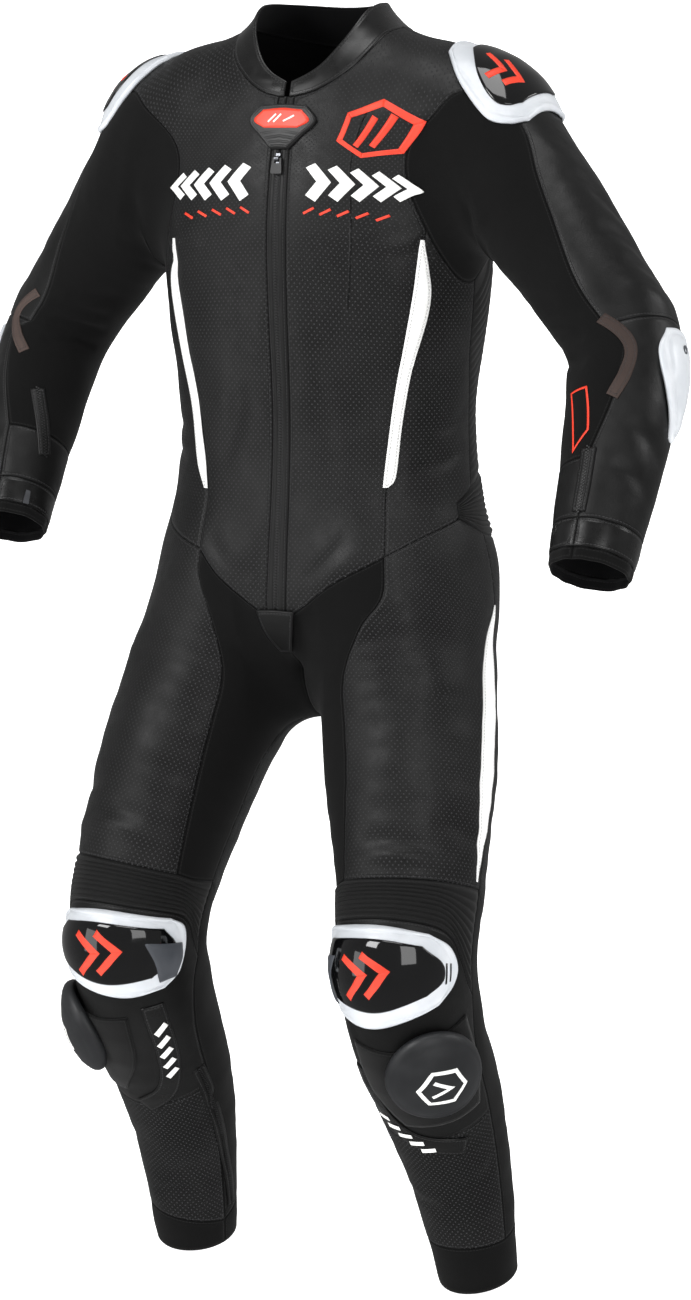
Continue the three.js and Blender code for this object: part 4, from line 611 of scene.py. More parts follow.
# The length that the rows along the arm are written for, in millimetres.
ARM_TABLE_LENGTH = 559
for side in (1, -1):
    trunk, arm, leg = (BODY[side][key] for key in ("trunk", "arm", "leg"))
    k = arm.v[-1] / ARM_TABLE_LENGTH
    cut = CUT[side]
    waist_side, knee_inner, knee_outer = cut["princess"][0], cut["knee"][0], cut["knee"][-1]
    S = {}

    def on_arm(rows, arm=arm, k=k):
        """A sleeve seam, its v given for the longer sleeve."""
        return line(arm, [[v * k, th] for v, th in rows])

    S["hole1"] = line(arm, [[58, 90], [46, 67]])
    S["hole2"] = line(arm, [[46, 67], [24, 50], [-3, 24], [-48, -9], [-60, -31], [-51, -54]])
    S["hole3"] = line(arm, [[-51, -54], [-46, -68], [-41, -84]])
    S["hole4"] = line(arm, [[-41, -84], [-33, -98], [-26, -112]])
    S["hole5"] = line(arm, [[-26, -112], [0, -150], [20, -182], [40, -215], [50, -247]])
    S["hole6"] = line(arm, [[50, -247], [58, -270]])
    top = trunk.inverse(S["hole1"][:1])[0]
    S["shoulder"] = tie(line(trunk, [top, [-40, 89], [-6, 90]]), 0, S["hole1"][0])
    S["neck0"] = line(trunk, [[-57, 0], [-57, PLACKET]])
    S["neck1"] = tie(line(trunk, NECK), 1, S["shoulder"][-1])
    S["neck2"] = tie(back(line(trunk, NECK_BACK)), 1, S["shoulder"][-1])
    S["waist0"] = tie(line(trunk, [[-634, 0], [-630, PLACKET]]), 0, FRONT_CENTRE[0])
    S["waist1"] = tie(line(trunk, [[-630, PLACKET], [-615, 15], [-590, 28], waist_side]), 0, S["waist0"][-1])
    S["waist2"] = line(trunk, [waist_side, [-542, 62], [-526, 79]])
    S["band_end"] = line(trunk, [[-526, 79], [-510, 79]])
    S["upper1"] = line(trunk, [[-510, 79], [-494, 90]])
    S["upper2"] = line(trunk, [[-494, 90], [-478, 112]])
    S["upper3"] = line(trunk, [[-478, 112], [-468, 145], [-465, 180]])
    S["lower1"] = line(trunk, [[-526, 79], [-545, 93]])
    S["lower2"] = tie(line(trunk, [[-545, 93], [-558, 118], [-566, 150], [-568, 180]]), 1, REAR_CENTRE[-1])
    placket = line(trunk, [[-630, PLACKET], [-340, PLACKET], [-57, PLACKET]])
    S["placket"] = tie(tie(placket, 0, S["waist0"][-1]), 1, S["neck0"][-1])
    S["zip"] = line(trunk, [[-634, 0], [-340, 0], [-57, 0]])
    S["zip"][:, 0] = 0
    S["princess"] = line(trunk, [*cut["princess"], trunk.inverse(S["hole2"][-1:])[0]])
    S["side_seam"] = line(trunk, [[-494, 90], [-423, 93], [-343, 87], trunk.inverse(S["hole3"][-1:])[0]])
    S["back_seam"] = line(trunk, [[-478, 112], [-400, 114], [-320, 112], trunk.inverse(S["hole4"][-1:])[0]])
    S["sleeve_front"] = on_arm([[46 / k, 67], [87, 66], [128, 43], [172, 27], [216, 14], [261, 6], [300, 8]])
    S["sleeve_back"] = on_arm([[50 / k, 113], [87, 116], [128, 137], [172, 153], [216, 166], [261, 174],
                               [300, 172]])
    for key, rows in (
            ("elbow", [[300, 8], [296, 50], [294, 90], [296, 130], [300, 172]]),
            ("fore_front", [[300, 8], [326, 26], [380, 15], [449, -7]]),
            ("fore_back", [[300, 172], [326, 154], [380, 165], [449, 187]]),
            ("stretch_end", [[449, -7], [451, -50], [452, -90], [451, -130], [449, -173]]),
            ("wrist_front", [[449, -7], [513, -7]]),
            ("wrist_back", [[449, 187], [513, 187]]),
            ("cuff_top1", [[513, -7], [513, 40], [513, 90], [513, 140], [513, 187]]),
            ("cuff_top2", [[513, 187], [513, 270], [513, 353]]),
            ("cuff_mid", [[543, -7], [543, 80], [543, 173], [543, 266], [543, 353]]),
            ("cuff_end", [[556, -7], [556, 80], [556, 173], [556, 266], [556, 353]]),
            ("slit", [[543, -7], [513, -7]]),
            ("slit_end", [[556, -7], [543, -7]]),
    ):
        S[key] = on_arm(rows)
    S["stretch"] = tie(line(leg, [leg.inverse(S["waist1"][-1:])[0], *cut["stretch"], cut["knee"][3]]),
                       0, S["waist1"][-1])
    leg_side = line(leg, [leg.inverse(S["lower1"][-1:])[0], [40, 100], [130, 101], [250, 97], knee_outer])
    S["leg_side"] = tie(leg_side, 0, S["lower1"][-1])
    S["inseam"] = tie(line(leg, [leg.inverse(REAR_CENTRE[:1])[0], [190, -88], [260, -90], knee_inner]),
                      0, REAR_CENTRE[0])
    for key, rows in (
            ("knee0", cut["knee"][:3]),
            ("knee1", cut["knee"][2:4]),
            ("knee2", cut["knee"][3:]),
            ("knee_rear", [knee_outer, [380, 130], [396, 180], [382, 230],
                           [knee_inner[0], knee_inner[1] + 360]]),
            ("rib_end1", [knee_inner, cut["rib_foot"][0]]),
            ("rib_end2", [knee_outer, cut["rib_foot"][-1]]),
            ("rib_foot", cut["rib_foot"]),
            ("knee_in", [cut["rib_foot"][0], [470, -78], [520, -69], [600, -66]]),
            ("knee_out", [cut["rib_foot"][-1], [520, 81], [600, 76]]),
            ("shin_top", [[600, -66], [606, 0], [600, 76]]),
            ("shin_in", [[600, -66], [690, -68], cut["hem"][0]]),
            ("shin_out", [[600, 76], [690, 74], cut["hem"][-1]]),
            ("hem_top1", cut["hem"]),
            ("hem_top2", [cut["hem"][-1], [772, 180], [cut["hem"][0][0], 288]]),
            ("hem_end", [[829, -72], [829, 18], [829, 108], [829, 198], [829, 288]]),
            ("hem_slit", [[829, -72], cut["hem"][0]]),
    ):
        S[key] = line(leg, rows)
    SEAMS[side] = S

# Folds that the filled suit keeps, each a soft line from one place to another:
# [limb, side, v and th of one end, v and th of the other, half width and height in millimetres].
FOLDS = [
    ["trunk", 1, -262, 56, -205, 78, 9, -3.0], ["trunk", 1, -240, 44, -196, 70, 8, 2.2],
    ["trunk", -1, -262, 52, -205, 78, 9, -3.0], ["trunk", -1, -236, 40, -190, 68, 8, 2.0],
    ["trunk", 1, -330, 22, -470, 30, 14, -2.0], ["trunk", -1, -320, 24, -480, 34, 15, -2.4],
    ["trunk", 1, -470, 60, -448, 88, 8, -2.4], ["trunk", -1, -470, 58, -446, 88, 8, -2.4],
    ["trunk", 1, -430, 66, -412, 90, 7, -1.8], ["trunk", -1, -436, 64, -415, 90, 7, -1.8],
    ["trunk", 1, -590, 14, -540, 34, 9, -2.0], ["trunk", -1, -592, 14, -545, 36, 9, -2.2],
    ["trunk", 1, -60, 40, -96, 66, 10, 1.6], ["trunk", -1, -60, 40, -96, 66, 10, 1.6],
    ["trunk", 1, -210, 120, -180, 160, 11, -2.4], ["trunk", -1, -215, 120, -176, 158, 11, -2.4],
    ["trunk", 1, -430, 125, -415, 172, 10, -2.6], ["trunk", -1, -440, 125, -420, 172, 10, -2.6],
    ["leg", 1, 40, -48, 128, -20, 11, -3.0], ["leg", 1, 72, -60, 165, -26, 10, -2.6],
    ["leg", -1, 36, -46, 122, -22, 11, -3.0], ["leg", -1, 76, -62, 168, -30, 10, -2.8],
    ["leg", 1, 18, -30, 74, -6, 9, 2.2], ["leg", -1, 18, -30, 72, -8, 9, 2.2],
    ["leg", 1, 300, -10, 322, 52, 9, -3.4], ["leg", 1, 282, 40, 300, 88, 9, -2.6],
    ["leg", -1, 296, -14, 318, 50, 9, -3.4], ["leg", -1, 276, 32, 296, 84, 9, -2.6],
    ["leg", 1, 322, -26, 327, 66, 7, 3.0], ["leg", -1, 320, -26, 325, 66, 7, 3.0],
    ["leg", 1, 20, 20, 180, 44, 20, 2.0], ["leg", -1, 20, 24, 180, 50, 20, 2.0],
    ["leg", 1, 600, -88, 660, -40, 9, -3.0], ["leg", 1, 640, 82, 690, 44, 9, -2.6],
    ["leg", -1, 606, -92, 660, -44, 9, -3.2], ["leg", -1, 636, 86, 690, 46, 9, -2.6],
    ["leg", 1, 700, -60, 724, 10, 8, -2.6], ["leg", -1, 706, -56, 730, 16, 8, -2.8],
    ["leg", 1, 742, 10, 752, 70, 7, -2.2], ["leg", -1, 744, -40, 752, 30, 7, -2.4],
    ["leg", 1, 380, 130, 420, 220, 11, -4.0], ["leg", 1, 420, 120, 452, 232, 11, -4.0],
    ["leg", -1, 380, 130, 420, 220, 11, -4.0], ["leg", -1, 422, 120, 455, 232, 11, -4.0],
    ["leg", 1, 352, 150, 372, 210, 10, -3.2], ["leg", -1, 350, 150, 374, 214, 10, -3.2],
    ["leg", 1, 30, 150, 66, 230, 13, -3.0], ["leg", -1, 34, 150, 60, 226, 13, -3.0],
    ["arm", 1, 226, -66, 276, -4, 10, -3.6], ["arm", 1, 262, -74, 302, -14, 10, -3.8],
    ["arm", 1, 306, -76, 338, -18, 9, -3.4], ["arm", 1, 182, -70, 240, -16, 11, -2.4],
    ["arm", -1, 204, -66, 246, 0, 10, -3.8], ["arm", -1, 236, -74, 276, -10, 10, -4.0],
    ["arm", -1, 276, -76, 304, -14, 9, -3.6], ["arm", -1, 168, -66, 212, -12, 11, -2.6],
    ["arm", 1, 92, 58, 160, 86, 12, 2.2], ["arm", 1, 132, 66, 196, 104, 10, -3.0],
    ["arm", 1, 196, 60, 238, 108, 10, -3.2], ["arm", 1, 236, 64, 262, 116, 9, -3.0],
    ["arm", 1, 262, 40, 282, 90, 8, 2.2], ["arm", -1, 130, 66, 180, 106, 10, -2.8],
    ["arm", -1, 190, 60, 226, 108, 10, -3.0], ["arm", -1, 226, 60, 250, 112, 9, -3.0],
    ["arm", 1, 410, 30, 436, 90, 9, -2.6], ["arm", 1, 454, 20, 474, 84, 8, -2.2],
    ["arm", -1, 380, 20, 410, 80, 9, -2.8], ["arm", -1, 426, -6, 446, 60, 8, -2.4],
    ["arm", 1, 0, -56, 70, -20, 12, -3.0], ["arm", 1, 40, -70, 110, -30, 11, -2.6],
    ["arm", -1, 0, -56, 66, -20, 12, -3.0], ["arm", -1, 36, -70, 100, -30, 11, -2.6],
]


def folds_at(limb, x, y):
    """Height of all folds at cloth places x and y: a bell across each line, tapering to its ends."""
    total = np.zeros_like(x)
    for kind, side, v0, th0, v1, th1, wide, height in FOLDS:
        if kind != limb.kind or (side != limb.side and kind != "trunk"):
            continue
        turn = side * limb.side if kind == "trunk" else 1
        (x0, x1), (y0, y1) = limb.cloth(np.array([v0, v1], float), turn * np.array([th0, th1], float))
        run = np.array([x1 - x0, y1 - y0])
        size = math.hypot(*run)
        for lap in ((0, 1, -1) if kind == "trunk" else (0,)):
            girth = lap * np.interp(y, limb.low + limb.v_step * np.arange(len(limb.girth)), limb.girth)
            dx, dy = x - x0 - girth, y - y0
            t = (dx * run[0] + dy * run[1]) / size ** 2
            bow = 0.06 * size * np.sin(np.pi * np.clip(t, 0, 1))
            off = (dx * run[1] - dy * run[0]) / size - bow
            taper = np.clip(1 - (2 * t - 1) ** 2, 0, 1) ** 0.7
            total += height * np.exp(-(off / wide) ** 2) * taper
    return total


def swell_at(x, y):
    """Slow unevenness of cloth in wear: three crossed waves of some centimetres."""
    return (0.55 * np.sin(x / 23 + 0.7 * np.sin(y / 41)) * np.sin(y / 31 + 1.3)
            + 0.35 * np.sin(x / 13 + y / 17) + 0.25 * np.sin(y / 11 - x / 29))


def spaced(count, size, edge):
    """Fractions along a side: close together at both ends, where the cloth is sewn, and even between."""
    near = np.array([0, 0.9, 2.0, 3.3]) / size
    if not edge or 3 * near[-1] > 1:
        return np.linspace(0, 1, count + 1)
    middle = np.linspace(near[-1], 1 - near[-1], max(2, count - 1))
    return np.concatenate([near[:-1], middle, 1 - near[-2::-1]])


def cubic_weights(fractions, count):
    """Matrix that reads values at count + 1 even places at any fractions, with a cubic through them."""
    x = np.clip(fractions * count, 0, count - 1e-9)
    i = np.floor(x).astype(int)
    f = x - i
    out = np.zeros((len(x), count + 1))
    rows = np.arange(len(x))
    for a, w in enumerate([(-f + 2 * f ** 2 - f ** 3) / 2, (2 - 5 * f ** 2 + 3 * f ** 3) / 2,
                           (f + 4 * f ** 2 - 3 * f ** 3) / 2, (-f ** 2 + f ** 3) / 2]):
        np.add.at(out, (rows, np.clip(i + a - 1, 0, count)), w)
    return out


def coons(bottom, right, top, left, s, t):
    """A net inside four edges: the two ruled nets added, less the one through the corners."""
    s, t = s[None, :, None], t[:, None, None]
    return ((1 - t) * bottom[None] + t * top[None] + (1 - s) * left[:, None] + s * right[:, None]
            - (1 - s) * (1 - t) * bottom[0] - s * (1 - t) * bottom[-1]
            - (1 - s) * t * top[0] - s * t * top[-1])


def evened(net, rounds=160):
    """Winslow smoothing: moves inner places until no row of the net crosses another."""
    net = net.copy()
    scale = np.array([1, 2.0])
    for _ in range(rounds):
        e, w, n, o = net[1:-1, 2:], net[1:-1, :-2], net[2:, 1:-1], net[:-2, 1:-1]
        ds, dt = (e - w) / 2 * scale, (n - o) / 2 * scale
        alpha, gamma = (dt ** 2).sum(-1, keepdims=True), (ds ** 2).sum(-1, keepdims=True)
        beta = (ds * dt).sum(-1, keepdims=True)
        cross = (net[2:, 2:] - net[2:, :-2] - net[:-2, 2:] + net[:-2, :-2]) / 4
        new = (alpha * (e + w) + gamma * (n + o) - 2 * beta * cross) / (2 * (alpha + gamma) + 1e-9)
        net[1:-1, 1:-1] += 0.8 * (new - net[1:-1, 1:-1])
    return net


def edge_places(limb, sides, fractions):
    """The four edges as v and th on the limb, th unwrapped all the way round the piece."""
    out = {}
    turn = None
    for key, reverse in (("bottom", False), ("right", False), ("top", True), ("left", True)):
        places = limb.inverse(resampled(sides[key], at=fractions[key]))
        if reverse:
            places = places[::-1]
        for place in places:
            if turn is not None:
                place[1] += 360 * round((turn - place[1]) / 360)
            turn = place[1]
        out[key] = places[::-1] if reverse else places
    return out


def shell(name, grids, materials):
    """Closed thin shells in one mesh, each from two grids of points, outside and inside.

    A grid is (outer, inner, cloth x, cloth y, distance from the edge, place along it).
    """
    points, faces, slots, cloth, edge = [], [], [], [], []
    start = 0
    for outer, inner, x, y, near, along in grids:
        rows, cols = outer.shape[:2]
        size = rows * cols
        index = np.arange(size).reshape(rows, cols)
        front = np.stack([index[:-1, :-1], index[:-1, 1:], index[1:, 1:], index[1:, :-1]],
                         axis=-1).reshape(-1, 4)
        rim = np.concatenate([index[0, :], index[1:, -1], index[-1, -2::-1], index[-2:0:-1, 0]])
        after = np.roll(rim, -1)
        wall = np.stack([rim, rim + size, after + size, after], axis=-1)
        made = np.concatenate([front, front[:, ::-1] + size, wall])
        turned = np.cross(outer[1:, 1:] - outer[:-1, :-1], outer[1:, :-1] - outer[:-1, 1:])
        if (turned * (outer - inner)[:-1, :-1]).sum() < 0:
            made = made[:, ::-1]
        faces.append(made + start)
        slots.append(np.repeat([0, min(1, len(materials) - 1), 0], [len(front), len(front), len(wall)]))
        points += [outer.reshape(-1, 3), inner.reshape(-1, 3)]
        cloth += [np.stack([x, y, 0 * x], axis=-1).reshape(-1, 3)] * 2
        edge += [np.stack([near, along, 0 * near], axis=-1).reshape(-1, 3)] * 2
        start += 2 * size
    mesh = bpy.data.meshes.new(name)
    mesh.from_pydata((np.concatenate(points) * MM).tolist(), [], np.concatenate(faces).tolist())
    for material in materials:
        mesh.materials.append(material)
    slots = np.concatenate(slots).astype(np.int32)
    mesh.polygons.foreach_set("material_index", slots)
    mesh.polygons.foreach_set("use_smooth", np.ones(len(slots), dtype=bool))
    for key, values in (("cloth", cloth), ("edge", edge)):
        values = np.concatenate(values).astype(np.float32)
        mesh.attributes.new(key, "FLOAT_VECTOR", "POINT").data.foreach_set("vector", values.ravel())
    made = bpy.data.objects.new(name, mesh)
    bpy.context.scene.collection.objects.link(made)
    return made


# Half the width in millimetres of the strip between the thighs that is evened, and how far it fades out.
BETWEEN_LEGS, BETWEEN_FADE = 50, 20


def relax(points, weight, edge_weight, times=120):
    """Evens a grid by weights: inner points go to the mean of four neighbours, edge points to that of two."""
    for _ in range(times):
        for run, share in ((points[0], edge_weight[0]), (points[-1], edge_weight[-1]),
                           (points[:, 0], edge_weight[:, 0]), (points[:, -1], edge_weight[:, -1])):
            run[1:-1] += share[1:-1] * ((run[:-2] + run[2:]) / 2 - run[1:-1])
        mean = (points[:-2, 1:-1] + points[2:, 1:-1] + points[1:-1, :-2] + points[1:-1, 2:]) / 4
        points[1:-1, 1:-1] += weight[1:-1, 1:-1] * (mean - points[1:-1, 1:-1])


def panel(name, limb, sides, materials, nodes, body="suit", lift=LEATHER, wall=1.2, cell=4.6, puff=0.5,
          tuck=1.2, ribs=None, crown=None, plain=False, folded=1.0, laid=False, sheet="stretched", slot=None):
    """Cloth between four seams, laid on the skin: raised by its thickness, folds, ribs and a crown.

    Edges are tucked in by a bell of about a millimetre, and pulled down along the row of stitches. Panels of
    the legs lie on the seams themselves, and are evened where the two thighs meet.
    """
    sides = dict(zip(("bottom", "right", "top", "left"), sides))

    def across(a, b, c, d):
        gap = np.linalg.norm(resampled(sides[c], 3)[1] - resampled(sides[d], 3)[1])
        return max((length(sides[a]) + length(sides[b])) / 2, gap)
    tall, wide = across("left", "right", "bottom", "top"), across("bottom", "top", "left", "right")
    pitch = min(cell, tall / (ribs[0] * 8)) if ribs else cell
    s = spaced(max(2, math.ceil(wide / cell)), wide, not plain)
    t = spaced(max(2, math.ceil(tall / pitch)), tall, not plain and not ribs)
    edges = edge_places(limb, sides, {"bottom": s, "top": s, "left": t, "right": t})
    net = coons(edges["bottom"], edges["right"], edges["top"], edges["left"], s, t)
    if not ribs and not plain:
        m, n = max(4, round(tall / 24)), max(4, round(wide / 24))
        sc, tc = np.linspace(0, 1, n + 1), np.linspace(0, 1, m + 1)
        rough = [np.stack([np.interp(f, g, edges[key][:, c]) for c in (0, 1)], axis=-1)
                 for key, f, g in (("bottom", sc, s), ("right", tc, t), ("top", sc, s), ("left", tc, t))]
        first = coons(*rough, sc, tc)
        net += np.einsum("tm,mnc,sn->tsc", cubic_weights(t, m), evened(first) - first, cubic_weights(s, n))
    v, th = net[..., 0], net[..., 1]
    skin, normal = limb.skin(v, th), limb.normal(v, th)
    if limb.kind == "leg":
        skin[0], skin[-1] = resampled(sides["bottom"], at=s), resampled(sides["top"], at=s)
        skin[:, 0], skin[:, -1] = resampled(sides["left"], at=t), resampled(sides["right"], at=t)
        between = np.clip((BETWEEN_LEGS - np.abs(skin[..., :1])) / BETWEEN_FADE, 0, 1)
        relax(skin, between, 0 * between)
        relax(normal, between, between)
        normal = unit(normal)
    x, y = limb.cloth(v, th)
    across_steps, along_steps = (np.linalg.norm(np.diff(skin, axis=axis), axis=-1) for axis in (1, 0))
    row = np.concatenate([np.zeros((len(t), 1)), np.cumsum(across_steps, 1)], axis=1)
    col = np.concatenate([np.zeros((1, len(s))), np.cumsum(along_steps, 0)])
    from_side, from_end = np.minimum(row, row[:, -1:] - row), np.minimum(col, col[-1:] - col)
    near = np.minimum(from_side, from_end)
    along = np.where(from_side < from_end, col, row)
    height = lift + puff * (1 - np.exp(-(near / 14) ** 2)) - tuck * np.exp(-(near / 1.3) ** 2)
    calm = 1 if laid else 1 - np.exp(-(near / 9) ** 2)
    height += folded * calm * (folds_at(limb, x, y) + swell_at(x, y))
    if ribs:
        count, raise_by, margin, top_margin = ribs
        f = np.clip((t - margin) / (1 - margin - top_margin), 0, 1)[:, None]
        inside = np.minimum(from_side / 8, 1)
        height += raise_by * np.abs(np.sin(math.pi * count * f)) ** 0.7 * inside
    if crown is not None:
        height += crown(v, th, near)
    outer = skin + normal * height[..., None]
    inner = outer - normal * wall
    made = shell(name, [(outer, inner, x, y, near, along)], materials)
    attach(made, body)
    if nodes:
        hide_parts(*nodes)
    return made


# Trunk: the back in one with the yoke, two fronts, narrow plackets beside the zip, side panels of leather
# and of ribbed stretch, and the ribbed lumbar band. All are sewn edge to edge and topstitched.
SIDE_NAME = {1: "L", -1: "R"}
for side in (1, -1):
    trunk, S, tag = BODY[side]["trunk"], SEAMS[side], SIDE_NAME[side]
    panel(f"front_{tag}", trunk, (S["waist1"], join(S["princess"], back(S["hole2"]), back(S["hole1"])),
                                  join(S["neck1"], back(S["shoulder"])), S["placket"]),
          [PUNCHED_COWHIDE, MESH_LINING], [f"front_panel_{tag}"])
    panel(f"placket_{tag}", trunk, (S["waist0"], S["placket"], S["neck0"], S["zip"]),
          [PLAIN_COWHIDE, MESH_LINING], [f"zip_placket_{tag}"],
          lift=2.4, tuck=1.8, puff=0.7, folded=0.3, cell=3)
    panel(f"side_leather_{tag}", trunk, (join(S["waist2"], S["band_end"], S["upper1"]), S["side_seam"],
                                         S["hole3"], S["princess"]),
          [PUNCHED_COWHIDE, MESH_LINING], [f"side_front_{tag}"])
    panel(f"side_ribs_{tag}", trunk, (S["upper2"], S["back_seam"], S["hole4"], S["side_seam"]),
          [RIBBED_STRETCH, MESH_LINING], [f"side_stretch_{tag}"], lift=STRETCH, ribs=(22, 1.6, 0.02, 0.08))
T = BODY[1]["trunk"]
SL, SR = SEAMS[1], SEAMS[-1]
panel("back", T, (join(SL["upper3"], back(SR["upper3"])), join(SR["back_seam"], SR["hole5"], SR["hole6"]),
                  join(SL["shoulder"], back(SL["neck2"]), SR["neck2"], back(SR["shoulder"])),
                  join(SL["back_seam"], SL["hole5"], SL["hole6"])),
      [PUNCHED_COWHIDE, MESH_LINING], ["back_panel"])
panel("lumbar_ribs", T, (
    join(SL["lower1"], SL["lower2"], back(SR["lower2"]), back(SR["lower1"])), SR["band_end"],
    join(SL["upper1"], SL["upper2"], SL["upper3"], back(SR["upper3"]), back(SR["upper2"]), back(SR["upper1"])),
    SL["band_end"]),
      [RIBBED_STRETCH, MESH_LINING], ["lumbar_stretch"], lift=STRETCH, ribs=(9, 2.2, 0.05, 0.05))

# Sleeves: a leather outer half, one long stretch piece inside the arm, a leather forearm with its own
# underside, and a glazed cuff band whose end is turned in.
for side in (1, -1):
    arm, S, tag = BODY[side]["arm"], SEAMS[side], SIDE_NAME[side]
    panel(f"sleeve_outer_{tag}", arm, (join(back(S["hole1"]), back(S["hole6"])), S["sleeve_back"], S["elbow"],
                                       S["sleeve_front"]),
          [PLAIN_COWHIDE, MESH_LINING], [f"upper_sleeve_{tag}"])
    panel(f"sleeve_inner_{tag}", arm, (join(S["hole2"], S["hole3"], S["hole4"], S["hole5"]),
                                       join(S["sleeve_back"], S["fore_back"]), S["stretch_end"],
                                       join(S["sleeve_front"], S["fore_front"])),
          [ARAMID_STRETCH, MESH_LINING], [f"sleeve_stretch_{tag}"], lift=STRETCH)
    panel(f"forearm_top_{tag}", arm, (S["elbow"], join(S["fore_back"], S["wrist_back"]), S["cuff_top1"],
                                      join(S["fore_front"], S["wrist_front"])),
          [PLAIN_COWHIDE, MESH_LINING], [f"forearm_outer_{tag}"])
    panel(f"forearm_below_{tag}", arm, (S["stretch_end"], S["wrist_back"], back(S["cuff_top2"]),
                                        S["wrist_front"]),
          [PLAIN_COWHIDE, MESH_LINING], [f"forearm_under_{tag}"])
    panel(f"cuff_{tag}", arm, (S["cuff_mid"], S["slit"], join(S["cuff_top1"], S["cuff_top2"]), S["slit"]),
          [SHINY_COWHIDE, MESH_LINING], [f"cuff_band_{tag}"], wall=1.8)
    panel(f"cuff_edge_{tag}", arm, (S["cuff_end"], S["slit_end"], S["cuff_mid"], S["slit_end"]),
          [ARAMID_STRETCH, MESH_LINING], [], lift=1.0, cell=3, slot="stretch_fabric",
          crown=lambda v, th, near: 0.8 * np.sin(np.radians(th) * 11 + 1.2 * np.sin(np.radians(th) * 3)))

# Legs: leather thighs front and back, stretch down the inside of the thigh, a pleated band over each knee,
# the knee panel, the shin, a stretch calf with its zip, and a soft stretch hem.
for side in (1, -1):
    leg, S, tag = BODY[side]["leg"], SEAMS[side], SIDE_NAME[side]
    panel(f"thigh_inner_{tag}", leg, (back(join(S["knee0"], S["knee1"])),
                                      back(join(FRONT_CENTRE, S["inseam"])),
                                      back(join(S["waist0"], S["waist1"])), back(S["stretch"])),
          [ARAMID_STRETCH, MESH_LINING], [f"crotch_stretch_{tag}"], lift=STRETCH, folded=0.12)
    panel(f"thigh_outer_{tag}", leg, (S["knee2"], back(S["leg_side"]), join(S["waist2"], S["lower1"]),
                                      back(S["stretch"])),
          [PUNCHED_COWHIDE, MESH_LINING], [f"thigh_front_{tag}"])
    panel(f"thigh_rear_{tag}", leg, (S["knee_rear"], join(back(S["inseam"]), REAR_CENTRE), S["lower2"],
                                     back(S["leg_side"])),
          [PUNCHED_COWHIDE, MESH_LINING], [f"thigh_back_{tag}"])
    panel(f"knee_ribs_{tag}", leg, (S["rib_foot"], back(S["rib_end2"]),
                                    join(S["knee0"], S["knee1"], S["knee2"]),
                                    back(S["rib_end1"])),
          [RIBBED_STRETCH, MESH_LINING], [f"knee_stretch_{tag}"],
          lift=STRETCH, ribs=(9, 2.2, 0.03, 0.03), folded=0)
    panel(f"knee_field_{tag}", leg, (S["shin_top"], back(S["knee_out"]), S["rib_foot"], back(S["knee_in"])),
          [PLAIN_COWHIDE, MESH_LINING], [f"knee_panel_{tag}"], folded=0.4)
    panel(f"shin_{tag}", leg, (S["hem_top1"], back(S["shin_out"]), S["shin_top"], back(S["shin_in"])),
          [PUNCHED_COWHIDE, MESH_LINING], [f"shin_front_{tag}"])
    panel(f"calf_cloth_{tag}", leg, (S["hem_top2"], back(join(S["rib_end1"], S["knee_in"], S["shin_in"])),
                                     S["knee_rear"],
                                     back(join(S["rib_end2"], S["knee_out"], S["shin_out"]))),
          [ARAMID_STRETCH, MESH_LINING], [f"calf_{tag}"], lift=STRETCH)
    panel(f"hem_cloth_{tag}", leg, (S["hem_end"], S["hem_slit"], join(S["hem_top1"], S["hem_top2"]),
                                    S["hem_slit"]),
          [ARAMID_STRETCH, MESH_LINING], [f"hem_{tag}"], lift=STRETCH)

# Collar: one glazed leather band, soft at its top edge, lined with knitted mesh and open in front.
collar_sides = []
for side in (1, -1):
    trunk, S = BODY[side]["trunk"], SEAMS[side]
    top_line = line(trunk, COLLAR_TOP)
    foot_line = join(tie(line(trunk, [[-57, COLLAR_END], [-57, PLACKET]]), 1, S["neck1"][0]), S["neck1"])
    end_line = tie(line(trunk, [[-57, COLLAR_END], [-41, COLLAR_END]]), 0, foot_line[0])
    collar_sides.append((top_line, tie(end_line, 1, top_line[0]), foot_line))
panel("collar_band", T, (join(collar_sides[0][2], back(SL["neck2"]), SR["neck2"], back(collar_sides[1][2])),
                         collar_sides[1][1],
                         join(collar_sides[0][0], back(collar_sides[1][0])), collar_sides[0][1]),
      [SHINY_COWHIDE, MESH_LINING], ["collar"], lift=2.6, wall=2.2, cell=3.5, folded=0.3, tuck=0.9)

# Things laid on the panels are cut from their own four edges and sewn or bonded on, a little proud of them.
# Their edges are rounded down to the leather, and they follow the folds below them.
# A piece lies ON_PANEL millimetres over the skin, and FILM_LIFT is the height of a printed film's face.
ON_PANEL = LEATHER + 0.5
FILM_LIFT = ON_PANEL + 0.35


def laid(name, limb, edges, material, nodes=(), scale=1.0, lift=ON_PANEL + 1.4, **options):
    """A piece laid on a panel, from the v and th rows of its bottom, right, top and left edges."""
    sides = [line(limb, [[v * scale, th] for v, th in rows], 1.5) for rows in edges]
    bottom, right, top, left = sides
    right = tie(tie(right, 0, bottom[-1]), 1, top[-1])
    left = tie(tie(left, 0, bottom[0]), 1, top[0])
    options = {"wall": 1.0, "cell": 3.0, "puff": 0.3, "tuck": 0.7, "plain": True, "laid": True, **options}
    return panel(name, limb, (bottom, right, top, left), [material], nodes, lift=lift, **options)


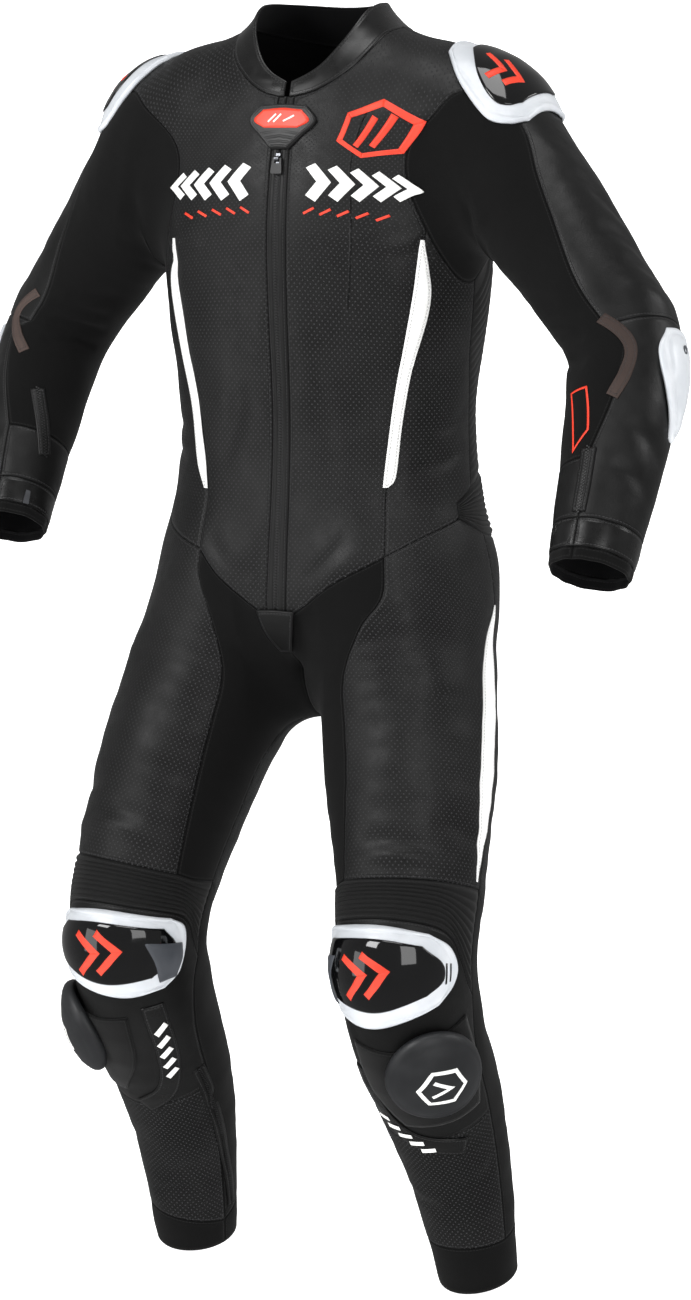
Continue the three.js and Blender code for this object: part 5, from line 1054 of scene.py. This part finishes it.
def moulded(name, colour, rough, spot=None, grain=0.0, coat=0.0, ior=1.5, specular=0.5):
    """Moulded plastic or rubber: an even skin with a faint cloud in its gloss and the mould's grain."""
    material, tree = new_material(name)
    place = add(tree, "ShaderNodeTexCoord").outputs["Object"]
    cloud = noise(tree, place, 30.0, 4.0)
    colour_now = mixed(tree, ramp(tree, cloud, 0.3, 0.8), linear(colour), linear(spot or colour))
    spark = noise(tree, place, 1400.0, 2.0)
    bump = add(tree, "ShaderNodeBump", {"Strength": 0.3 * grain, "Distance": 0.0004, "Height": spark})
    shader = add(tree, "ShaderNodeBsdfPrincipled", {
        "Base Color": colour_now, "Roughness": ramp(tree, cloud, 0.2, 0.9, rough * 0.85, rough * 1.15),
        "IOR": ior, "Normal": bump.outputs[0], "Coat Weight": coat, "Coat Roughness": 0.05,
        "Specular IOR Level": specular})
    add(tree, "ShaderNodeOutputMaterial", {"Surface": shader.outputs[0]})
    return material


WHITE_TPU = moulded("tpu_injection_moulded_white", "c4c8cd", 0.34, "d4d7db", 0.15)
GLOSS_BLACK = moulded("polycarbonate_moulded_gloss", "050506", 0.06, "080809", 0.0, coat=0.2, ior=1.5)
SLATE_RUBBER = moulded("tpu_moulded_slate", "3c3f45", 0.5, "474a50", 0.5)
BLACK_RUBBER = moulded("rubber_moulded_black", "191919", 0.48, "222223", 0.6)
PUCK_PLASTIC = moulded("polyurethane_cast_puck", "1a1b1d", 0.5, "232426", 0.7)
RED_RUBBER = moulded("rubber_moulded_red", "e0351c", 0.42, "e63f26", 0.3)
RED_INK = moulded("screen_ink_fluorescent_red", "e4371d", 0.5, "ea4228", 0.4)
WHITE_INK = moulded("screen_ink_white", "ecece9", 0.5, "f6f6f4", 0.4)

# White flashes: strips of coated cowhide beside the princess seams in front and on the leg's side seams.
FLASH = {
    1: [[-489, 49.4, 51.4], [-477, 50, 54.6], [-426, 52.8, 57.4], [-368, 55.2, 60], [-350, 56, 61.2],
        [-287, 58.6, 65.2], [-226, 60.6, 62]],
    -1: [[-497, 42, 44], [-470, 44.6, 50], [-430, 48.5, 54], [-370, 52.5, 58.5], [-296, 55, 62],
         [-262, 56, 61], [-229, 57, 58.6]],
}
for side in (1, -1):
    trunk, leg, tag = BODY[side]["trunk"], BODY[side]["leg"], SIDE_NAME[side]
    inner, outer = [[v, th] for v, th, far in FLASH[side]], [[v, far] for v, th, far in FLASH[side]]
    laid(f"flash_front_{tag}", trunk, ([inner[0], outer[0]], outer, [inner[-1], outer[-1]], inner),
         WHITE_COWHIDE, [f"front_stripe_{tag}"], cell=2.5)
    laid(f"flash_leg_{tag}", leg, (
        [[336, 86], [336, 88]], [[336, 88], [250, 98], [130, 101], [60, 99], [12, 97]],
        [[12, 95], [12, 97]], [[336, 86], [250, 81], [130, 81], [60, 87], [12, 95]],
    ), WHITE_COWHIDE, [f"side_stripe_{tag}"], cell=2.5, lift=ON_PANEL + 1.6)


def strip(name, limb, path, wide, material, **options):
    """A strip of even width in millimetres along a path of v and th, laid on the panels."""
    path = np.array(path, float)
    v, th = path.mean(0)
    ends = limb.skin(np.array([v, v]), np.array([th + 3.0, th - 3.0]))
    scale = np.array([1.0, np.linalg.norm(ends[0] - ends[1]) / 6])
    run = unit(np.gradient(path * scale, axis=0))
    shift = np.stack([-run[:, 1], run[:, 0]], axis=1) * wide / 2 / scale
    low, high = (path - shift).tolist(), (path + shift).tolist()
    return laid(name, limb, ([low[0], high[0]], high, [low[-1], high[-1]], low), material, **options)


# Elbow strips of brown suede, and the raised bands of black leather that run down beside the knee sliders.
ELBOW_STRIP = {1: [[288, 8], [326, 30], [356, 26], [384, 13]],
               -1: [[234, 18], [273, 34], [302, 20], [329, -1]]}
SHIN_BAND = {1: [[507, -38], [560, -29], [600, -6], [624, 40]],
             -1: [[472, -34], [530, -36], [580, -26], [608, 2]]}
for side in (1, -1):
    arm, leg, tag = BODY[side]["arm"], BODY[side]["leg"], SIDE_NAME[side]
    strip(f"elbow_strip_{tag}", arm, ELBOW_STRIP[side], 13, BROWN_SUEDE, cell=2.5, lift=ON_PANEL + 1.1)
    strip(f"shin_band_{tag}", leg, SHIN_BAND[side], 24, SHINY_COWHIDE, cell=2.5, lift=ON_PANEL + 1.8,
          puff=1.2)


def dome(v0, th0, dv, dth, height, frame_lip=0.0, groove=0.0):
    """A crown that rises over the middle of a cup and dies at its rim, with a lip and a groove near it."""
    def crown(v, th, near):
        """One less the squares of the scaled distances. The groove is a bell along a line near the rim."""
        rise = np.maximum(0, 1 - ((v - v0) / dv) ** 2 - ((th - th0) / dth) ** 2)
        return (height * rise + frame_lip * np.exp(-((near - 4.5) / 2.6) ** 2)
                - groove * (np.exp(-((near - 8.2) / 0.7) ** 2) + 0.7 * np.exp(-((near - 10.6) / 0.6) ** 2)))
    return crown


# How high the layers of a cup lie over the skin, and what is the same for the pieces of every cup.
CUP_LIFT, WINDOW_LIFT, PRINT_LIFT, SLATE_LIFT = 5.9, 7.5, 7.95, 8.3
ELBOW_LIFT, RIVET_LIFT, SLOT_LIFT, PUCK_PRINT_LIFT = 5.6, 9.6, 6.3, 6.15
CUP = {"wall": 2.6, "cell": 1.8, "tuck": 1.8, "puff": 0, "folded": 0, "sheet": None, "slot": "cup_white"}
WINDOW = {"wall": 1.0, "cell": 2, "tuck": 0.7, "puff": 0.3, "folded": 0, "sheet": None, "slot": "insert_black"}


def strokes(path, width, closed=False):
    """The quads of a line of even width through flat points, mitred at its corners."""
    path = np.array(path, float)
    run = np.roll(path, -1, 0) - path if closed else np.diff(path, axis=0)
    run = run / np.linalg.norm(run, axis=1, keepdims=True)
    side = np.stack([-run[:, 1], run[:, 0]], axis=1)
    before = np.roll(side, 1, 0) if closed else np.concatenate([side[:1], side])
    after = side if closed else np.concatenate([side, side[-1:]])
    mitre = before + after
    mitre = mitre / np.maximum((mitre * after).sum(1, keepdims=True), 0.35)
    low, high = path - mitre * width / 2, path + mitre * width / 2
    count = len(path) if closed else len(path) - 1
    return [[low[i], low[(i + 1) % len(path)], high[(i + 1) % len(path)], high[i]] for i in range(count)]


def printed(name, limb, place, quads, material, lift, crown=None, wall=0.35, cell=2.4, body="suit", turn=0.0,
            flip=1, folded=1.0):
    """Flat quads in millimetres about a place on a limb, laid on it as thin closed films.

    The first axis runs round the limb toward +th, and the second up the limb, against v on limbs.
    """
    v0, th0 = place
    per_degree = np.linalg.norm(limb.skin(np.array([v0]), np.array([th0 + 3.0]))
                                - limb.skin(np.array([v0]), np.array([th0 - 3.0]))) / 6
    up = 1 if limb.kind == "trunk" else -1
    c, s_ = math.cos(math.radians(turn)), math.sin(math.radians(turn))
    grids = []
    for quad in quads:
        q = np.array(quad, float) @ np.array([[c, s_], [-s_, c]])
        n = max(2, math.ceil(max(np.linalg.norm(q[1] - q[0]), np.linalg.norm(q[2] - q[3])) / cell))
        m = max(2, math.ceil(max(np.linalg.norm(q[3] - q[0]), np.linalg.norm(q[2] - q[1])) / cell))
        a, b = np.linspace(0, 1, n + 1)[None, :, None], np.linspace(0, 1, m + 1)[:, None, None]
        flat = (1 - b) * ((1 - a) * q[0] + a * q[1]) + b * ((1 - a) * q[3] + a * q[2])
        v, th = v0 + up * flat[..., 1], th0 + flip * flat[..., 0] / per_degree
        skin, normal = limb.skin(v, th), limb.normal(v, th)
        x, y = limb.cloth(v, th)
        height = lift + folded * (folds_at(limb, x, y) + swell_at(x, y))
        if crown is not None:
            height = height + crown(v, th, np.full(v.shape, 30.0))
        outer = skin + normal * height[..., None]
        grids.append((outer, outer - normal * wall, x, y, np.full(v.shape, 30.0), x))
    made = shell(name, grids, [material])
    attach(made, body)
    return made


def chevron(x, y, wide, tall, thick):
    """The quads of an open arrowhead that points along the first axis."""
    return strokes([[x, y - tall / 2], [x + wide, y], [x, y + tall / 2]], thick)


# Shoulder cups: a white injected frame with grooves, round a glossy black window with a red print.
SHOULDER_DOME = (43, 97, 46, 45, 9)
for side in (1, -1):
    arm, tag = BODY[side]["arm"], SIDE_NAME[side]
    k = arm.v[-1] / ARM_TABLE_LENGTH
    laid(f"shoulder_frame_{tag}", arm, (
        [[4, 74], [-3, 96], [4, 122]], [[4, 122], [35, 138], [58, 138], [75, 128], [84, 112]],
        [[89, 72], [86, 90], [84, 112]], [[4, 74], [28, 58], [60, 50], [80, 58], [89, 72]],
    ), WHITE_TPU, [f"shoulder_cup_{tag}"], scale=k, lift=CUP_LIFT, crown=dome(*SHOULDER_DOME, 1.2, 0.9), **CUP)
    laid(f"shoulder_window_{tag}", arm, (
        [[20, 84], [17, 97], [20, 112]], [[20, 112], [36, 122], [54, 124], [66, 117], [73, 108]],
        [[77, 76], [76, 92], [73, 108]], [[20, 84], [38, 69], [58, 62], [71, 66], [77, 76]],
    ), GLOSS_BLACK, [f"shoulder_insert_{tag}"], scale=k, lift=WINDOW_LIFT, crown=dome(*SHOULDER_DOME), **WINDOW)
    marks = chevron(-16, 0, 13, 28, 5) + chevron(-2, 0, 13, 28, 5)
    printed(f"shoulder_print_{tag}", arm, (54 * k, 82), marks, RED_INK, PRINT_LIFT, dome(*SHOULDER_DOME),
            folded=0, turn=-62)

# Elbow cups: white injected shells with a double groove and a rivet at the top.
for side in (1, -1):
    arm, tag = BODY[side]["arm"], SIDE_NAME[side]
    k = arm.v[-1] / ARM_TABLE_LENGTH
    laid(f"elbow_shell_{tag}", arm, (
        [[306, 72], [302, 95], [306, 118]], [[306, 118], [330, 132], [368, 124], [404, 104]],
        [[404, 92], [405, 98], [404, 104]], [[306, 72], [330, 60], [368, 72], [404, 92]],
    ), WHITE_TPU, [f"elbow_cup_{tag}"], scale=k, lift=ELBOW_LIFT,
        crown=dome(352 * k, 96, 48 * k, 36, 6, 0.8, 1.1), **CUP)
    ring = [[2.6 * math.cos(a), 2.6 * math.sin(a)] for a in np.linspace(0, 2 * math.pi, 13)[:-1]]
    printed(f"elbow_rivet_{tag}", arm, (322 * k, 92), strokes(ring, 2.2, True), SLATE_RUBBER, RIVET_LIFT,
            wall=0.9, cell=1, folded=0)

# Knee cups: a white injected frame, a glossy window with a red print, and a slate inlay on the inner side.
KNEE_CUP = {1: (376, 83), -1: (388, 73)}
for side in (1, -1):
    leg, tag = BODY[side]["leg"], SIDE_NAME[side]
    top, tall = KNEE_CUP[side]
    centre = top + tall / 2
    knee_dome = (centre, -2, tall / 2, 64, 12)

    def on_knee(*edges, top=top, tall=tall):
        """Edges from rows of share of the cup's height and th."""
        return [[[top + share * tall, th] for share, th in rows] for rows in edges]
    laid(f"knee_frame_{tag}", leg, on_knee(
        [[0.95, -46], [1, -8], [0.82, 46]], [[0.82, 46], [0.66, 62], [0.46, 68], [0.24, 60], [0.09, 40]],
        [[0.02, -52], [0, 0], [0.09, 40]], [[0.95, -46], [0.76, -63], [0.42, -70], [0.13, -66], [0.02, -52]],
    ), WHITE_TPU, [f"knee_cup_{tag}"], lift=CUP_LIFT, crown=dome(*knee_dome, 1.2, 0.9), **CUP)
    laid(f"knee_window_{tag}", leg, on_knee(
        [[0.75, -36], [0.8, 0], [0.68, 36]], [[0.68, 36], [0.56, 50], [0.38, 50], [0.2, 34]],
        [[0.15, -46], [0.13, 0], [0.2, 34]], [[0.75, -36], [0.56, -54], [0.34, -57], [0.15, -46]],
    ), GLOSS_BLACK, [f"knee_insert_{tag}"], lift=WINDOW_LIFT, crown=dome(*knee_dome), **WINDOW)
    laid(f"knee_slate_{tag}", leg, on_knee(
        [[0.82, -57], [0.84, -42]], [[0.84, -42], [0.56, -38], [0.3, -30]],
        [[0.36, -64], [0.32, -46], [0.3, -30]], [[0.82, -57], [0.6, -64], [0.36, -64]],
    ), SLATE_RUBBER, lift=SLATE_LIFT, wall=1.4, cell=2, tuck=0.9, puff=0.4, crown=dome(*knee_dome, 0.6),
        folded=0, sheet=None, slot="slider_puck")
    marks = chevron(-24, 0, 20, 32, 6) + chevron(-4, 0, 20, 32, 6)
    printed(f"knee_print_{tag}", leg, (centre - 4, -2), marks, RED_INK, PRINT_LIFT, dome(*knee_dome),
            folded=0, turn=8, flip=side)
    slots = strokes([[-3, -9], [-1, 9]], 2.2) + strokes([[3, -8], [5, 8]], 2.2)
    printed(f"knee_slots_{tag}", leg, (centre, 55), slots, GLOSS_BLACK, SLOT_LIFT, dome(*knee_dome),
            folded=0)

# Knee sliders: a cast polyurethane puck that hooks onto a field of loop pile sewn below the knee.
# Its profile is given as rows of radius and height in millimetres, the worn face first.
PUCK_PLACE = {1: (511, 34), -1: (516, 54)}
PUCK_FACE = [[0, 24], [10, 23.7], [20, 22.2], [30, 19.4], [37, 16.8]]
PUCK_EDGE = [[38.5, 15.6], [40.5, 15.2], [44.8, 12.4], [47.2, 9], [48, 5], [47, 1], [45.6, 0], [30, 0], [15, 0],
             [0, 0]]
SIX_CORNERS = np.radians([0, 60, 120, 180, 240, 300])
LOOP_PILE = stretch_cloth("nylon_loop_pile", "0a0a0a", "161616", thread=1.2, rough=0.95, sheen=0.08)


def turned(name, limb, place, outline, material, nodes, lift, body="suit", slot=None, cloth_step=48):
    """A round piece on a limb: a closed profile of radius and height carried round the skin's normal."""
    v0, th0 = place
    per_degree = np.linalg.norm(limb.skin(np.array([v0]), np.array([th0 + 5.0]))
                                - limb.skin(np.array([v0]), np.array([th0 - 5.0]))) / 10
    outline = np.array(outline, float)
    a = np.linspace(0, 2 * math.pi, cloth_step + 1)
    r = outline[:, 0][:, None]
    v, th = v0 - r * np.cos(a), th0 + r * np.sin(a) / per_degree
    points = limb.skin(v, th) + limb.normal(v, th) * (lift + outline[:, 1])[:, None, None]
    made = mesh_from_grid(name, points * MM, [material])
    tool = bmesh.new()
    tool.from_mesh(made.data)
    bmesh.ops.remove_doubles(tool, verts=tool.verts, dist=1e-5)
    bmesh.ops.recalc_face_normals(tool, faces=tool.faces)
    tool.to_mesh(made.data)
    tool.free()
    made.data.polygons.foreach_set("use_smooth", [True] * len(made.data.polygons))
    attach(made, body)
    if nodes:
        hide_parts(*nodes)
    return made


for side in (1, -1):
    leg, tag = BODY[side]["leg"], SIDE_NAME[side]
    pv, pth = PUCK_PLACE[side]
    laid(f"loop_field_{tag}", leg, (
        [[pv + 66, pth - 40], [pv + 70, pth], [pv + 66, pth + 30]],
        [[pv + 66, pth + 30], [pv + 11, pth + 44], [pv - 46, pth + 40]],
        [[pv - 36, pth - 66], [pv - 32, pth - 20], [pv - 46, pth + 40]],
        [[pv + 66, pth - 40], [pv + 16, pth - 62], [pv - 36, pth - 66]],
    ), LOOP_PILE, [f"slider_base_{tag}"], lift=4.9, wall=1.2, folded=0.2)
    turned(f"puck_{tag}", leg, (pv, pth), PUCK_FACE + PUCK_EDGE, PUCK_PLASTIC, [f"knee_slider_{tag}"], CUP_LIFT,
           slot="slider_puck")
    hexagon = [[19 * math.cos(a), 19 * math.sin(a)] for a in SIX_CORNERS]

    def puck_top(v, th, near, pv=pv, pth=pth, leg=leg):
        """Height of the puck's face: the cubic through its profile at this radius."""
        step = np.linalg.norm(leg.skin(np.array([pv]), np.array([pth + 5.0]))
                              - leg.skin(np.array([pv]), np.array([pth - 5.0]))) / 10
        r = np.hypot(v - pv, (th - pth) * step)
        return smooth([radius for radius, _ in PUCK_FACE], [[high] for _, high in PUCK_FACE], r)[..., 0]
    marks = strokes(hexagon, 3.2, True) + chevron(-8, 0, 14, 16, 3.2)
    printed(f"puck_print_{tag}", leg, (pv, pth), marks, WHITE_INK, PUCK_PRINT_LIFT, puck_top,
            folded=0, turn=-14, flip=side, cell=1.6)

# Zip garage: a black rubber shield sewn over the top of the zip, with a red inlay and three ridges below it.
GARAGE = ([[-127, -5], [-127, 5]], [[-127, 5], [-108, 12], [-88, 20], [-70, 14.5]],
          [[-70, -14.5], [-67, 0], [-70, 14.5]], [[-127, -5], [-108, -12], [-88, -20], [-70, -14.5]])


def shield(v, th, near):
    """A flat field with a raised rim, and ridges that bend to a point over its lower half."""
    low = np.clip((-100 - v) / 6, 0, 1) * np.clip((near - 4) / 2, 0, 1)
    ridge = 0.9 * np.maximum(0, np.cos(2 * math.pi * (v + 0.35 * np.abs(th)) / 7.2)) ** 2
    return 1.3 * np.exp(-((near - 2.6) / 1.2) ** 2) + low * ridge


laid("garage_shield", T, GARAGE, BLACK_RUBBER, ["zip_garage"], lift=6.4, wall=2.6, cell=1.2, tuck=1.4,
     puff=0.6, crown=shield, folded=0, sheet=None, slot="pull_rubber")
laid("garage_inlay", T, ([[-97, -10], [-97, 10]], [[-97, 10], [-88, 16.6], [-75, 12]],
                         [[-75, -12], [-72.5, 0], [-75, 12]], [[-97, -10], [-88, -16.6], [-75, -12]]),
     RED_RUBBER, lift=7.9, wall=1.6, cell=1.2, tuck=0.8, puff=0.2, folded=0, sheet=None, slot="garage_red")
printed("garage_print", T, (-85, 0), strokes([[-14, -5], [-6, 5]], 2) + strokes([[-8, -5], [0, 5]], 2)
        + strokes([[3, -4], [15, 3]], 2), WHITE_INK, 8.3, folded=0, cell=1.2)
laid("zip_end", T, ([[-666, -4.5], [-666, 4.5]], [[-666, 4.5], [-645, 8], [-622, 10]],
                    [[-622, -10], [-621, 0], [-622, 10]], [[-666, -4.5], [-645, -8], [-622, -10]]),
     PLAIN_COWHIDE, ["zip_end_patch"], lift=6.8, wall=2.6, cell=1.8, folded=1.0)

# Front zip: two rows of moulded teeth in the slot between the plackets, with a die-cast slider and its pull.
DIE_CAST = moulded("zinc_die_cast_dark", "6a6c70", 0.36, "7d7f84", 0.4, specular=0.5)
DIE_CAST.node_tree.nodes["Principled BSDF"].inputs["Metallic"].default_value = 1.0
for node_name, node_material in (("zip_slider", DIE_CAST), ("zip_pull", BLACK_RUBBER),
                                 ("cuff_pull_R", DIE_CAST)):
    cad_piece = bpy.data.objects[node_name]
    cad_piece.data.materials.clear()
    cad_piece.data.materials.append(node_material)
TOOTH_PITCH = 3.0


def teeth(name, limb, path, material, lift=2.0, size=(1.5, 1.9, 1.1), pitch=TOOTH_PITCH, apart=1.0):
    """Two staggered rows of small blocks along a line of v and th, each turned with the line."""
    middle = line(limb, path)
    places = limb.inverse(resampled(middle, at=np.linspace(0, 1, int(length(middle) / pitch))))
    centre, normal = limb.skin(places[:, 0], places[:, 1]), limb.normal(places[:, 0], places[:, 1])
    run = unit(np.gradient(centre, axis=0))
    cross = np.cross(normal, run)
    x, y = limb.cloth(places[:, 0], places[:, 1])
    centre = centre + normal * (lift + 0.3 * swell_at(x, y))[:, None]
    corners = np.array([[a, b, c] for a in (-0.5, 0.5) for b in (-0.5, 0.5) for c in (-0.5, 0.5)])
    faces = np.array([[0, 1, 3, 2], [4, 6, 7, 5], [0, 4, 5, 1], [2, 3, 7, 6], [0, 2, 6, 4], [1, 5, 7, 3]])
    points, quads = [], []
    for sign in (1, -1):
        shift = centre + cross * (sign * apart) + run * (sign * pitch / 4)
        block = (shift[:, None] + corners[None, :, :1] * size[0] * run[:, None]
                 + corners[None, :, 1:2] * size[1] * cross[:, None]
                 + corners[None, :, 2:] * size[2] * normal[:, None])
        quads.append(faces[None] + 8 * np.arange(len(shift))[:, None, None] + len(points) * 8 * len(shift))
        points.append(block.reshape(-1, 3))
    mesh = bpy.data.meshes.new(name)
    mesh.from_pydata((np.concatenate(points) * MM).tolist(), [],
                     np.concatenate(quads).reshape(-1, 4).tolist())
    mesh.materials.append(material)
    tool = bmesh.new()
    tool.from_mesh(mesh)
    bmesh.ops.recalc_face_normals(tool, faces=tool.faces)
    tool.to_mesh(mesh)
    tool.free()
    made = bpy.data.objects.new(name, mesh)
    bpy.context.scene.collection.objects.link(made)
    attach(made, "suit")
    return made


teeth("zip_teeth", T, [[-618, 0], [-340, 0], [-152, 0]], BLACK_RUBBER, lift=1.9)

# Wrist and calf zips: a tape stitched on the leather, with two rows of teeth along its middle.
WRIST_ZIP = {1: [[440, -6], [476, -6], [508, -7]], -1: [[376, -32], [415, -49], [450, -63]]}
CALF_ZIP = {1: [[585, -62], [660, -70], [752, -82]], -1: [[572, -58], [670, -70], [782, -86]]}
for side in (1, -1):
    for part, limb, path in (("wrist", BODY[side]["arm"], WRIST_ZIP[side]),
                             ("calf", BODY[side]["leg"], CALF_ZIP[side])):
        strip(f"{part}_tape_{SIDE_NAME[side]}", limb, path, 15, PLAIN_COWHIDE, cell=2.5, lift=ON_PANEL + 1.2)
        teeth(f"{part}_teeth_{SIDE_NAME[side]}", limb, path, BLACK_RUBBER, lift=ON_PANEL + 1.6,
              size=(1.3, 1.7, 1.0))

# Prints on the chest: bonded ink films, white arrowheads beside the zip, a red hexagon and red dashes.
for side in (1, -1):
    trunk, tag = BODY[side]["trunk"], SIDE_NAME[side]
    arrows = []
    for i, wide in enumerate((20, 18, 16, 14, 12)):
        arrows += chevron(12 + 24 * i - 1.2 * i * i, 0, 14, 42 - 4 * i, wide * 0.62)
    printed(f"chest_arrows_{tag}", trunk, (-172, 12), arrows, WHITE_INK, FILM_LIFT)
    dashes = []
    for i in range(5):
        dashes += strokes([[14 + 17 * i, -3.5], [25 + 17 * i, 3.5]], 2.6)
    printed(f"chest_dashes_{tag}", trunk, (-207, 8), dashes, RED_INK, FILM_LIFT, cell=2)
outer_ring = [[34 * math.cos(a) * 1.2, 30 * math.sin(a)] for a in SIX_CORNERS]
inner_bar = strokes([[-24, -12], [8, 16]], 7) + strokes([[-6, -16], [26, 12]], 7)
printed("chest_mark_L", BODY[1]["trunk"], (-104, 46), strokes(outer_ring, 6.5, True) + inner_bar, RED_INK,
        FILM_LIFT, turn=12)

# A red outline on the left forearm, and slanted white bars on the bands below the knees.
forearm_outline = strokes([[-14, 34], [8, 34], [13, -15], [-3, -36]], 2.4, True)
printed("forearm_mark_L", BODY[1]["arm"], (405, -25), forearm_outline, RED_INK, FILM_LIFT, cell=2)
for side, (band_v, band_th, turn) in ((1, (594, -10, -48)), (-1, (528, -35, -88))):
    bars = [stroke for i in range(5) for stroke in strokes([[-36 + 15 * i, -6], [-26 + 15 * i, 6]], 6)]
    printed(f"shin_bars_{SIDE_NAME[side]}", BODY[side]["leg"], (band_v, band_th), bars, WHITE_INK,
            ON_PANEL + 3.4, cell=2, turn=turn)
